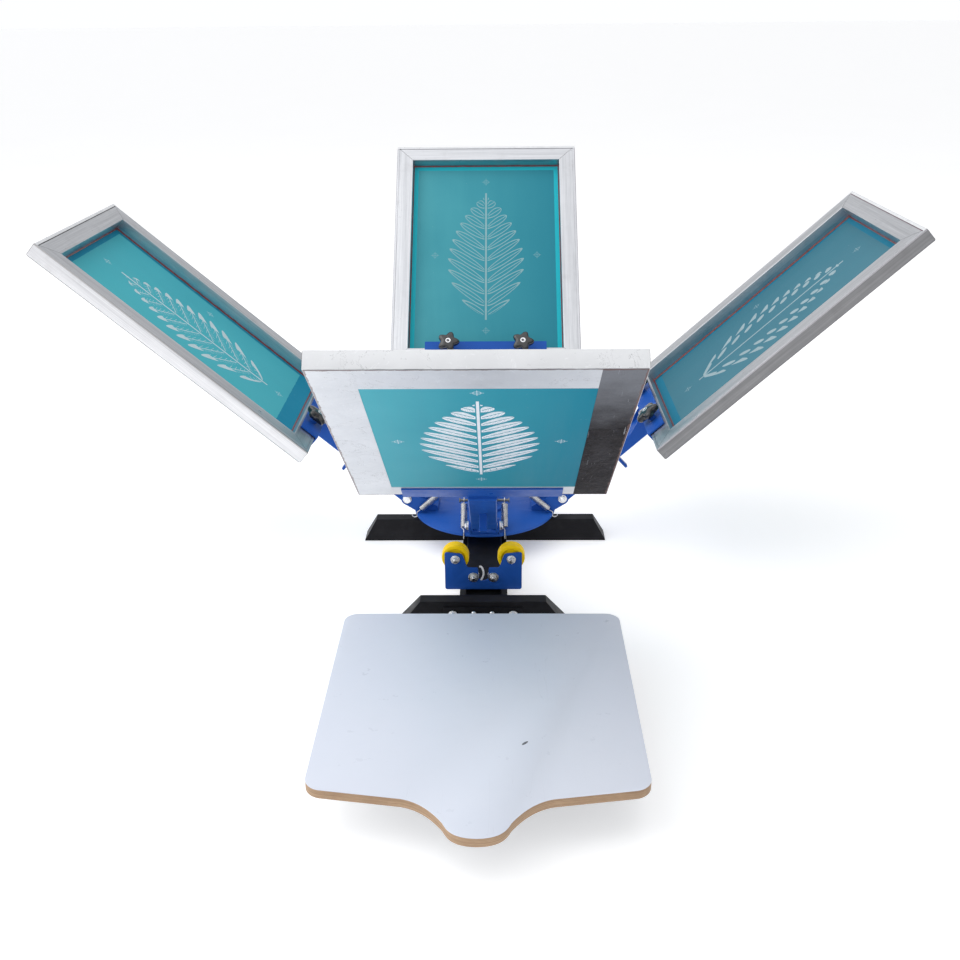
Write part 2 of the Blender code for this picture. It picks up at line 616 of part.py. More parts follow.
    # screen: welded box-section frame, and the stretched mesh below it
    if frame_mesh is None:
        fr = box("screen_frame_" + name, (-FRAME_W / 2, 0, 0), (FRAME_W / 2, FRAME_L, FRAME_T))
        cut(fr, box("c", (-FRAME_W / 2 + FRAME_B, FRAME_B, -0.01),
                    (FRAME_W / 2 - FRAME_B, FRAME_L - FRAME_B, 0.05)))
        fr = bevel(fr, 0.0014, 1)
        core = box("core", (-FRAME_W / 2 + FRAME_WALL, FRAME_WALL, FRAME_WALL),
                   (FRAME_W / 2 - FRAME_WALL, FRAME_L - FRAME_WALL, FRAME_T - FRAME_WALL))
        b = FRAME_B - FRAME_WALL
        cut(core, box("c", (-FRAME_W / 2 + b, b, -0.01), (FRAME_W / 2 - b, FRAME_L - b, 0.05)))
        cut(fr, core, cyl("weep", 0.0025, -0.002, 0.005, (0.12, FRAME_T / 2), "y", 12))
        frame_mesh = fr.data
    else:
        fr = raw("screen_frame_" + name, frame_mesh.copy())
    fr.location = (0, k, e + MESH_T + GAP)
    place(fr, ALU, pivot)

    sm = box("screen_mesh_" + name, (-FRAME_W / 2 + MESH_INSET, k + MESH_INSET, e),
             (FRAME_W / 2 - MESH_INSET, k + FRAME_L - MESH_INSET, e + MESH_T))
    place(sm, TEAL, pivot)

bpy.context.view_layer.update()
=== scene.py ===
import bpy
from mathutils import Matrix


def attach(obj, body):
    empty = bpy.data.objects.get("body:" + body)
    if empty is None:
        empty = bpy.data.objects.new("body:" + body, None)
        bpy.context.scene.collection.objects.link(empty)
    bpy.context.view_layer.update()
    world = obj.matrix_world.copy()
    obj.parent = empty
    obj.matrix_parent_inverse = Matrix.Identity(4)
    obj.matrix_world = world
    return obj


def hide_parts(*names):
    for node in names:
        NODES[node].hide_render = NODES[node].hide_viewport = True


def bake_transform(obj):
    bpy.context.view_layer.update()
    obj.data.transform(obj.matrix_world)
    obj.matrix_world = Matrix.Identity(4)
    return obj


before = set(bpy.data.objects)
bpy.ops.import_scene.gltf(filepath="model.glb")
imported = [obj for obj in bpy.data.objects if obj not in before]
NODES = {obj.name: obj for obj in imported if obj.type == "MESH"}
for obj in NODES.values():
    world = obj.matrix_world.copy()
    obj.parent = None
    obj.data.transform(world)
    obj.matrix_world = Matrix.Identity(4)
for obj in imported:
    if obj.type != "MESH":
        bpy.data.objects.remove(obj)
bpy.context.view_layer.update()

# Looks of the tabletop screen printing carousel. Metres, +Z up, the same frame
# as the model. Fine pieces ride on the model's bodies; pieces of a head are
# made in that head's own frame (origin on its hinge axis, +Y outwards).
import math
import random

import bmesh
import bpy
from mathutils import Matrix, Vector, noise

HEADS = ("front", "right", "back", "left")
GAP = 0.0003
AX, AY = 0.00762, 0.16991
FRAME_W, FRAME_L, FRAME_T, FRAME_B = 0.457, 0.624, 0.027, 0.041
MESH_T, MESH_INSET = 0.0005, 0.002
PIVOT_R, PIVOT_Z, ARM_REACH, DROP = 0.168, 0.0895, 0.2507, -0.002
RAISE = {"front": 38.5, "right": 42.5, "back": 46.5, "left": 41.0}
AZIMUTH = {"front": 180.0, "right": -90.0, "back": 0.0, "left": 90.0}
CLAMP_T, CLAMP_HALF = 0.003, 0.146
KNOB_X = 0.0885
JAW = {"front": (0.018, 0.0), "right": (0.018, 0.0), "back": (0.038, 0.014), "left": (0.018, 0.0)}
TAIL_Y, TAIL_Z, ROD_R, ROD_HALF = -0.0423, 0.065, 0.003, 0.051
SPRING_X, HOOK_R = 0.0425, 0.1465
DISC_R, DISC_T, DISC_TOP, SHAFT_R = 0.1535, 0.006, 0.0615, 0.015
GATE_Y, GATE_T = -0.3168, 0.004
ROLLER_R, ROLLER_L, ROLLER_X, ROLLER_Z = 0.0265, 0.024, 0.0541, 0.0882
BEARING_R, BEARING_L, BEARING_X, BEARING_Z = 0.011, 0.007, 0.0192, 0.0498
PLATEN_BACK, PLATEN_FRONT, PLATEN_TIP = -0.5255, -1.0155, -1.110
PLATEN_HALF, PLATEN_T, PLATEN_TOP = 0.240, 0.015, 0.0845
FOOT_TOP = 0.0455
ARM_W, ARM_H = 0.054, 0.025

PRESS = Matrix.Translation((AX, AY, 0.0))


def head_frame(name, raised=True):
    m = PRESS @ Matrix.Rotation(math.radians(AZIMUTH[name]), 4, "Z") @ Matrix.Translation((0, PIVOT_R, PIVOT_Z))
    return m @ Matrix.Rotation(math.radians(RAISE[name]), 4, "X") if raised else m


# ------------------------------------------------------------- shader helpers
class Mat:
    """A Principled material with short names for the nodes used here."""

    def __init__(self, name, metallic=0.0, rough=0.5, **sockets):
        self.m = bpy.data.materials.new(name)
        self.m.use_nodes = True
        self.t = self.m.node_tree
        self.b = self.t.nodes["Principled BSDF"]
        self.b.inputs["Metallic"].default_value = metallic
        self.b.inputs["Roughness"].default_value = rough
        for key, value in sockets.items():
            self.b.inputs[key.replace("_", " ")].default_value = value
        self._obj = None

    def node(self, kind, **props):
        n = self.t.nodes.new(kind)
        for k, v in props.items():
            setattr(n, k, v)
        return n

    def put(self, socket, value):
        if isinstance(value, bpy.types.NodeSocket):
            self.t.links.new(value, socket)
        elif value is not None:
            socket.default_value = value
        return socket

    @property
    def obj(self):
        if self._obj is None:
            self._obj = self.node("ShaderNodeTexCoord").outputs["Object"]
        return self._obj

    def stretch(self, scale, vec=None, loc=(0, 0, 0), rot=(0, 0, 0)):
        n = self.node("ShaderNodeMapping")
        self.put(n.inputs["Vector"], self.obj if vec is None else vec)
        n.inputs["Scale"].default_value = scale
        n.inputs["Location"].default_value = loc
        n.inputs["Rotation"].default_value = rot
        return n.outputs[0]

    def noise(self, scale, detail=3.0, rough=0.55, vec=None, distortion=0.0):
        n = self.node("ShaderNodeTexNoise")
        self.put(n.inputs["Vector"], self.obj if vec is None else vec)
        n.inputs["Scale"].default_value = scale
        n.inputs["Detail"].default_value = detail
        n.inputs["Roughness"].default_value = rough
        n.inputs["Distortion"].default_value = distortion
        return n.outputs["Fac"]

    def voronoi(self, scale, vec=None, feature="F1", rand=1.0):
        n = self.node("ShaderNodeTexVoronoi", feature=feature)
        self.put(n.inputs["Vector"], self.obj if vec is None else vec)
        n.inputs["Scale"].default_value = scale
        n.inputs["Randomness"].default_value = rand
        return n.outputs["Distance"]

    def ramp(self, fac, stops, interp="LINEAR"):
        n = self.node("ShaderNodeValToRGB")
        r = n.color_ramp
        r.interpolation = interp
        while len(r.elements) < len(stops):
            r.elements.new(0.5)
        for e, (p, c) in zip(r.elements, stops):
            e.position = p
            e.color = (c, c, c, 1.0) if isinstance(c, (int, float)) else (*c, 1.0)
        self.put(n.inputs["Fac"], fac)
        return n.outputs["Color"]

    def mix(self, fac, a, b, how="MIX"):
        n = self.node("ShaderNodeMix", data_type="RGBA", blend_type=how, clamp_factor=True)
        self.put(n.inputs[0], fac)
        for socket, v in ((n.inputs[6], a), (n.inputs[7], b)):
            self.put(socket, (*v, 1.0) if isinstance(v, tuple) and len(v) == 3 else v)
        return n.outputs[2]

    def span(self, value, a0, a1, b0, b1):
        n = self.node("ShaderNodeMapRange", clamp=True)
        self.put(n.inputs["Value"], value)
        for key, v in (("From Min", a0), ("From Max", a1), ("To Min", b0), ("To Max", b1)):
            n.inputs[key].default_value = v
        return n.outputs[0]

    def colour(self, value):
        self.put(self.b.inputs["Base Color"], (*value, 1.0) if isinstance(value, tuple) else value)

    def rough(self, value):
        self.put(self.b.inputs["Roughness"], value)

    def bump(self, *layers):
        """Each layer is (height, strength, distance)."""
        last = None
        for height, strength, distance in layers:
            n = self.node("ShaderNodeBump")
            n.inputs["Strength"].default_value = strength
            n.inputs["Distance"].default_value = distance
            self.put(n.inputs["Height"], height)
            if last is not None:
                self.put(n.inputs["Normal"], last)
            last = n.outputs["Normal"]
        self.put(self.b.inputs["Normal"], last)

    def xyz(self, vec=None):
        n = self.node("ShaderNodeSeparateXYZ")
        self.put(n.inputs[0], self.obj if vec is None else vec)
        return [X(self, o) for o in n.outputs]

    def x(self, socket):
        return X(self, socket)


class X:
    """A shader value that takes part in plain arithmetic."""

    def __init__(self, mat, socket):
        self.mat, self.s = mat, socket

    def op(self, kind, *others, flip=False):
        n = self.mat.node("ShaderNodeMath", operation=kind)
        vals = [self, *others]
        if flip:
            vals = [*others, self]
        for socket, v in zip(n.inputs, vals):
            if isinstance(v, X):
                self.mat.t.links.new(v.s, socket)
            else:
                socket.default_value = float(v)
        return X(self.mat, n.outputs[0])

    def __add__(self, o): return self.op("ADD", o)
    __radd__ = __add__
    def __sub__(self, o): return self.op("SUBTRACT", o)
    def __rsub__(self, o): return self.op("SUBTRACT", o, flip=True)
    def __mul__(self, o): return self.op("MULTIPLY", o)
    __rmul__ = __mul__
    def __truediv__(self, o): return self.op("DIVIDE", o)
    def __neg__(self): return self.op("MULTIPLY", -1)
    def abs(self): return self.op("ABSOLUTE")
    def fract(self): return self.op("FRACT")
    def floor(self): return self.op("FLOOR")
    def sin(self): return self.op("SINE")
    def sqrt(self): return self.op("SQRT")
    def pow(self, p): return self.op("POWER", p)
    def lt(self, o): return self.op("LESS_THAN", o)
    def gt(self, o): return self.op("GREATER_THAN", o)
    def min(self, o): return self.op("MINIMUM", o)
    def max(self, o): return self.op("MAXIMUM", o)
    def atan2(self, o): return self.op("ARCTAN2", o)
    def clamp(self): return self.max(0.0).min(1.0)


# ------------------------------------------------------------------ materials
def powder_coat(name, base, light, rough=0.34, coat=0.35, dust=0.0, spec=0.5, ior=1.5, chipped=0.5):
    m = Mat(name, 0.0, rough, Coat_Weight=coat, Coat_Roughness=0.16, Specular_IOR_Level=spec, IOR=ior)
    tone = m.noise(7.0, 3.0, 0.6)
    c = m.mix(m.span(tone, 0.35, 0.75, 0.0, 0.55), base, light)
    scuff = m.noise(55.0, 5.0, 0.72, vec=m.stretch((1.0, 0.35, 1.6)))
    c = m.mix(m.span(scuff, 0.66, 0.80, 0.0, 0.45), c, tuple(min(1.0, v * 1.7 + 0.035) for v in light))
    chips = m.voronoi(210.0)
    far = m.noise(18.0, 2.0, 0.5)
    chip = m.x(chips).lt(0.10) * m.x(far).gt(0.66) * chipped
    c = m.mix(chip.s, c, (0.20, 0.20, 0.21))
    if dust:
        haze = m.noise(24.0, 6.0, 0.7)
        c = m.mix(m.span(haze, 0.45, 0.85, 0.0, dust), c, (0.33, 0.33, 0.35))
    m.colour(c)
    m.rough(m.span(m.noise(30.0, 4.0, 0.6), 0.3, 0.75, rough - 0.07, rough + 0.14))
    m.bump((m.noise(620.0, 2.0, 0.5), 0.10, 0.00025), (m.noise(70.0, 2.0, 0.5), 0.06, 0.0008))
    return m.m


def bare_metal(name, base, dark, rough=0.28, grain=(1.0, 1.0, 1.0), grain_scale=260.0, stain=0.35, tint=(0.52, 0.46, 0.33), metallic=1.0):
    m = Mat(name, metallic, rough)
    cloud = m.noise(90.0, 4.0, 0.6)
    c = m.mix(m.span(cloud, 0.3, 0.75, 0.0, 0.7), base, dark)
    spot = m.noise(150.0, 3.0, 0.6)
    c = m.mix(m.span(spot, 0.60, 0.82, 0.0, stain), c, tint)
    m.colour(c)
    fine = m.noise(grain_scale, 3.0, 0.7, vec=m.stretch(grain))
    m.rough(m.span(fine, 0.25, 0.8, rough - 0.08, rough + 0.16))
    m.bump((fine, 0.07, 0.0001))
    return m.m


BLUE = powder_coat("blue_powder_coat", (0.0150, 0.084, 0.385), (0.022, 0.118, 0.480), 0.34, 0.04, spec=0.50, ior=1.20)
BLACK = powder_coat("black_satin_paint", (0.0060, 0.0060, 0.0080), (0.011, 0.011, 0.014), 0.44, 0.0, dust=0.035, spec=0.16, chipped=0.05)
ZINC = bare_metal("zinc_plated_steel", (0.90, 0.905, 0.92), (0.70, 0.71, 0.73), 0.26, stain=0.14)
HOOK_WIRE = bare_metal("bright_wire", (0.95, 0.95, 0.96), (0.86, 0.86, 0.88), 0.42, stain=0.08, metallic=0.30)
ROD_STEEL = bare_metal("dull_steel", (0.20, 0.20, 0.21), (0.11, 0.11, 0.115), 0.42)
SPRING_STEEL = bare_metal("spring_wire", (0.70, 0.70, 0.70), (0.42, 0.42, 0.43), 0.26, stain=0.5)
SHIELD = bare_metal("bearing_steel", (0.72, 0.72, 0.74), (0.50, 0.50, 0.52), 0.30)


def frame_metal(name, gain, outer, groove_shade_colour, rim_reflection_colour):
    """Extruded aluminium: streaks along each bar, a seam at each mitre, and painted light and shade over each head's
    frame and on its outer walls."""
    m = Mat(name, 1.0, 0.34)
    x, y, z = m.xyz()
    u = FRAME_W / 2 - x.abs()
    v = FRAME_L / 2 - (y - (ARM_REACH + FRAME_L / 2)).abs()
    across = (v - u).lt(0.0)                         # 1 on the bars that run along X
    sx = m.noise(1.0, 5.0, 0.72, vec=m.stretch((5.0, 620.0, 620.0)))
    sy = m.noise(1.0, 5.0, 0.72, vec=m.stretch((620.0, 5.0, 620.0)))
    streak = m.mix(across.s, sy, sx)
    wide_x = m.noise(1.0, 3.0, 0.6, vec=m.stretch((3.0, 130.0, 130.0)))
    wide_y = m.noise(1.0, 3.0, 0.6, vec=m.stretch((130.0, 3.0, 130.0)))
    wide = m.mix(across.s, wide_y, wide_x)
    c = m.mix(m.span(streak, 0.28, 0.75, 0.0, 1.0), (0.76, 0.77, 0.79), (0.50, 0.51, 0.535))
    c = m.mix(m.span(wide, 0.42, 0.72, 0.0, 0.55), c, (0.42, 0.43, 0.45))
    stain = m.noise(16.0, 6.0, 0.7)
    c = m.mix(m.span(stain, 0.56, 0.76, 0.0, 0.40), c, (0.44, 0.44, 0.45))
    ink = m.noise(60.0, 4.0, 0.7)
    c = m.mix(m.span(ink, 0.70, 0.74, 0.0, 0.5), c, (0.20, 0.22, 0.24))
    # painted light and shade: each head's copy is made lighter or darker as a whole
    c = m.mix(1.0, c, (gain, gain, gain * 1.01), "MULTIPLY")
    # painted light and shade on the outer side walls, lighter on the left head and much darker on the right head
    c = m.mix(u.lt(0.0006).s, c, m.mix(1.0, c, (outer, outer * 0.985, outer * 0.97), "MULTIPLY"))
    # painted shade in the groove of the free-end bar, and a painted dark reflection along the rounded outer rim
    far = (ARM_REACH + FRAME_L) - y
    top_face = z.gt(DROP + FRAME_T - 0.0020)
    groove_shade_noise = m.x(m.noise(50.0, 4.0, 0.6))
    groove_shade_mask = far.gt(0.0044) * far.lt(0.0082) * top_face * (far - u).lt(0.002)
    c = m.mix((groove_shade_mask * (groove_shade_noise * 0.7 + 0.55).clamp()).s, c, groove_shade_colour)
    # rim: painted dark reflection along the outer top edge
    rim = u.min(v).lt(0.0013) * top_face
    c = m.mix((rim * 0.75).s, c, rim_reflection_colour)
    seam = (u - v).abs().lt(0.00045) * u.lt(FRAME_B).min(v.lt(FRAME_B))
    c = m.mix(seam.s, c, (0.05, 0.05, 0.055))
    m.colour(c)
    m.rough(m.span(m.noise(40.0, 5.0, 0.7), 0.25, 0.8, 0.24, 0.50))
    dents = m.noise(36.0, 2.0, 0.5)
    m.bump((streak, 0.20, 0.0002), (dents, 0.10, 0.0016))
    return m.m


# Per-head copies of one aluminium, lit and shaded apart: the gain, the outer-wall factor, the groove shade and the rim
# reflection colours are painted light and shade.
ALUMINIUM = {"front": frame_metal("extruded_aluminium_front", 0.95, 1.0, (0.20, 0.20, 0.21), (0.50, 0.50, 0.52)), "back": frame_metal("extruded_aluminium_back", 0.90, 0.95, (0.24, 0.23, 0.27), (0.26, 0.25, 0.29)),
             "left": frame_metal("extruded_aluminium_left", 0.98, 1.15, (0.035, 0.035, 0.04), (0.42, 0.41, 0.41)), "right": frame_metal("extruded_aluminium_right", 0.92, 0.42, (0.30, 0.17, 0.22), (0.50, 0.49, 0.52))}


def foil_tape(name, light, dark, dark_amount, rough, metal=1.0, crease=1.0, fade=None, ior=1.5):
    """Metallic film tape with creases and trapped wrinkles."""
    m = Mat(name, metal, rough, IOR=ior, Specular_IOR_Level=0.28 if fade else 0.5)
    big = m.noise(11.0, 4.0, 0.6, distortion=0.6)
    folds = m.noise(46.0, 6.0, 0.74, distortion=1.3)
    ridge = m.x(m.noise(26.0, 5.0, 0.66, vec=m.stretch((1.6, 0.55, 1.0), rot=(0, 0, 0.5)), distortion=0.9))
    ridge = (1.0 - ((ridge - 0.5).abs() * 9.0).clamp())
    c = m.mix(m.span(big, 0.30, 0.72, 0.0, dark_amount), light, dark)
    if fade:
        # painted dark reflection: near-black towards the hinge end, fading to silver at the free end
        y = m.xyz()[1]
        far = m.span((y + m.x(m.noise(20.0, 4.0, 0.6)) * 0.16).s, ARM_REACH + 0.46, ARM_REACH + 0.66, 0.0, 0.85)
        c = m.mix(far, c, fade)
    c = m.mix(m.span(folds, 0.58, 0.74, 0.0, 0.20 if fade else 0.55), c, tuple(min(1.0, 1.25 * v + 0.03) for v in light))
    if fade:
        # painted highlight streaks along the dark foil
        highlight_streak = m.x(m.noise(1.0, 5.0, 0.7, vec=m.stretch((300.0, 9.0, 1.0), rot=(0, 0, 0.05)), distortion=0.6))
        c = m.mix((highlight_streak.gt(0.665) * 0.55).s, c, (0.42, 0.44, 0.48))
        # painted glints and darker facets on the crinkled dark foil
        wn3 = m.node("ShaderNodeTexNoise")
        m.put(wn3.inputs["Vector"], m.obj)
        wn3.inputs["Scale"].default_value = 30.0
        wn3.inputs["Detail"].default_value = 4.0
        warp2 = m.node("ShaderNodeVectorMath", operation="MULTIPLY_ADD")
        m.put(warp2.inputs[0], wn3.outputs["Color"])
        warp2.inputs[1].default_value = (2.2, 2.2, 2.2)
        m.put(warp2.inputs[2], m.stretch((46.0, 17.0, 30.0), rot=(0, 0, 0.35)))
        cells = m.node("ShaderNodeTexVoronoi", feature="F1")
        m.put(cells.inputs["Vector"], warp2.outputs[0])
        cells.inputs["Scale"].default_value = 1.0
        tone = m.x(cells.outputs["Color"])
        c = m.mix((tone.pow(3.0) * 0.12).s, c, (0.19, 0.195, 0.22))
        c = m.mix((tone.gt(0.95) * 0.34).s, c, (0.42, 0.43, 0.46))
    if not fade:
        # painted shade in thin crease lines on the light tapes
        crease_shade = m.x(m.noise(17.0, 5.0, 0.68, distortion=1.1))
        where = m.x(m.noise(6.5, 2.0, 0.5))
        c = m.mix(((crease_shade - 0.5).abs().lt(0.0045) * where.gt(0.53) * 0.45).s, c, (0.24, 0.24, 0.25))
    grime = m.noise(130.0, 4.0, 0.7)
    c = m.mix(m.span(grime, 0.64, 0.8, 0.0, 0.4), c, (0.16, 0.16, 0.17))
    if crease > 0.5:
        # a darker brown band of ragged width along the outer rim
        px, py, pz = m.xyz()
        from_rim = (FRAME_W / 2 - px.abs()).min(FRAME_L / 2 - (py - (ARM_REACH + FRAME_L / 2)).abs())
        ragged = m.x(m.noise(48.0, 4.0, 0.7)) * 0.0088
        c = m.mix((from_rim.lt(ragged - 0.0006) * 0.72).s, c, (0.17, 0.105, 0.10))
    m.colour(c)
    m.rough(m.span(folds, 0.3, 0.75, max(0.08, rough - 0.08), rough + 0.20))
    m.bump((ridge.s, 0.16 * crease, 0.0011), (folds, 0.34 * crease, 0.0012), (m.noise(260.0, 3.0, 0.6), 0.12, 0.0003))
    return m.m


TAPE_LIGHT = foil_tape("foil_tape_light", (0.69, 0.705, 0.74), (0.53, 0.545, 0.58), 0.5, 0.36, 0.50, 0.55)
# silver foil tape painted near-black as a painted dark reflection, with painted highlight streaks and glints
TAPE_PAINTED_DARK_REFLECTION = foil_tape("foil_tape_painted_dark_reflection", (0.026, 0.022, 0.026), (0.008, 0.007, 0.008), 0.95, 0.30, 0.0, 1.4, fade=(0.20, 0.21, 0.235), ior=1.07)
TAPE_EDGE = foil_tape("edge_tape", (0.74, 0.75, 0.77), (0.60, 0.605, 0.62), 0.40, 0.44, 0.12, 0.40)


def laminate(name):
    m = Mat(name, 0.0, 0.40, Specular_IOR_Level=0.30)
    c = m.mix(m.span(m.noise(2.2, 3.0, 0.5), 0.3, 0.7, 0.0, 1.0), (0.690, 0.722, 0.820), (0.730, 0.757, 0.835))
    c = m.mix(m.span(m.noise(9.0, 6.0, 0.65), 0.50, 0.80, 0.0, 0.30), c, (0.64, 0.68, 0.77))
    speck = m.voronoi(95.0)
    pick = m.noise(31.0, 2.0, 0.5)
    dots = m.x(speck).lt(0.055) * m.x(pick).gt(0.66)
    c = m.mix((dots * 0.5).s, c, (0.42, 0.43, 0.47))
    x, y, z = m.xyz()
    # a small dark nick, off the middle of the printing end
    nx, ny = (x - 0.0670), (y + 0.906)
    nick = (((nx * 0.70 + ny * 0.71) / 0.0062).pow(2.0) + ((ny * 0.70 - nx * 0.71) / 0.0021).pow(2.0)).lt(1.0)
    c = m.mix(nick.s, c, (0.16, 0.16, 0.18))
    scratch = m.x(m.noise(1.0, 2.0, 0.4, vec=m.stretch((60.0, 1.4, 60.0), rot=(0, 0, 0.42))))
    line = ((scratch - 0.5).abs().lt(0.0016) * m.x(m.noise(3.0, 2.0, 0.5)).gt(0.55))
    c = m.mix((line * 0.16).s, c, (0.50, 0.52, 0.58))
    m.colour(c)
    m.rough(m.span(m.noise(26.0, 5.0, 0.65), 0.3, 0.75, 0.26, 0.44))
    m.bump((m.noise(900.0, 2.0, 0.5), 0.06, 0.0002), (m.noise(5.0, 2.0, 0.5), 0.05, 0.002))
    return m.m


def board_edge(name):
    """Bare board edge: compressed layers, darker where it was sawn and handled."""
    m = Mat(name, 0.0, 0.62)
    layers = m.noise(1.0, 3.0, 0.6, vec=m.stretch((6.0, 6.0, 700.0)))
    grain = m.noise(1.0, 5.0, 0.7, vec=m.stretch((90.0, 90.0, 420.0)))
    c = m.mix(m.span(layers, 0.35, 0.68, 0.0, 1.0), (0.46, 0.305, 0.185), (0.30, 0.185, 0.105))
    c = m.mix(m.span(grain, 0.50, 0.80, 0.0, 0.6), c, (0.58, 0.42, 0.29))
    c = m.mix(m.span(m.noise(8.0, 4.0, 0.6), 0.48, 0.74, 0.0, 0.75), c, (0.20, 0.105, 0.05))
    m.colour(c)
    m.rough(m.span(grain, 0.3, 0.8, 0.5, 0.78))
    m.bump((grain, 0.5, 0.0006), (layers, 0.25, 0.0005))
    return m.m


def nylon(name):
    m = Mat(name, 0.0, 0.40, IOR=1.25)
    c = m.mix(m.span(m.noise(60.0, 4.0, 0.6), 0.3, 0.75, 0.0, 1.0), (1.00, 0.69, 0.004), (0.97, 0.61, 0.004))
    c = m.mix(m.span(m.noise(150.0, 5.0, 0.7), 0.62, 0.80, 0.0, 0.35), c, (0.50, 0.30, 0.02))
    m.colour(c)
    m.rough(m.span(m.noise(120.0, 4.0, 0.6), 0.3, 0.75, 0.28, 0.5))
    m.bump((m.noise(420.0, 3.0, 0.6), 0.14, 0.0003))
    return m.m


def phenolic(name):
    m = Mat(name, 0.0, 0.16, Coat_Weight=0.6, Coat_Roughness=0.04)
    c = m.mix(m.span(m.noise(120.0, 4.0, 0.6), 0.35, 0.75, 0.0, 1.0), (0.0050, 0.0050, 0.0058), (0.012, 0.012, 0.0135))
    m.colour(c)
    m.rough(m.span(m.noise(190.0, 4.0, 0.65), 0.3, 0.8, 0.12, 0.30))
    m.bump((m.noise(500.0, 2.0, 0.5), 0.06, 0.0002))
    return m.m


def glue(name):
    m = Mat(name, 0.0, 0.35)
    m.colour(m.mix(m.span(m.noise(70.0, 5.0, 0.7), 0.35, 0.7, 0.0, 1.0), (0.22, 0.030, 0.036), (0.085, 0.030, 0.034)))
    m.rough(m.span(m.noise(160.0, 3.0, 0.6), 0.3, 0.7, 0.25, 0.5))
    m.bump((m.noise(300.0, 3.0, 0.6), 0.4, 0.0005))
    return m.m


LAMINATE = laminate("platen_laminate")
EDGE = board_edge("platen_board_edge")


def backing(name):
    m = Mat(name, 0.0, 0.55, IOR=1.3)
    m.colour(m.mix(m.span(m.noise(6.0, 5.0, 0.65), 0.3, 0.75, 0.0, 1.0), (0.52, 0.53, 0.55), (0.43, 0.43, 0.44)))
    m.rough(m.span(m.noise(30.0, 4.0, 0.6), 0.3, 0.75, 0.45, 0.65))
    m.bump((m.noise(500.0, 2.0, 0.5), 0.08, 0.0002))
    return m.m


BACKING = backing("platen_backing")
NYLON = nylon("yellow_nylon")
PHENOLIC = phenolic("black_phenolic")
GLUE = glue("frame_glue")


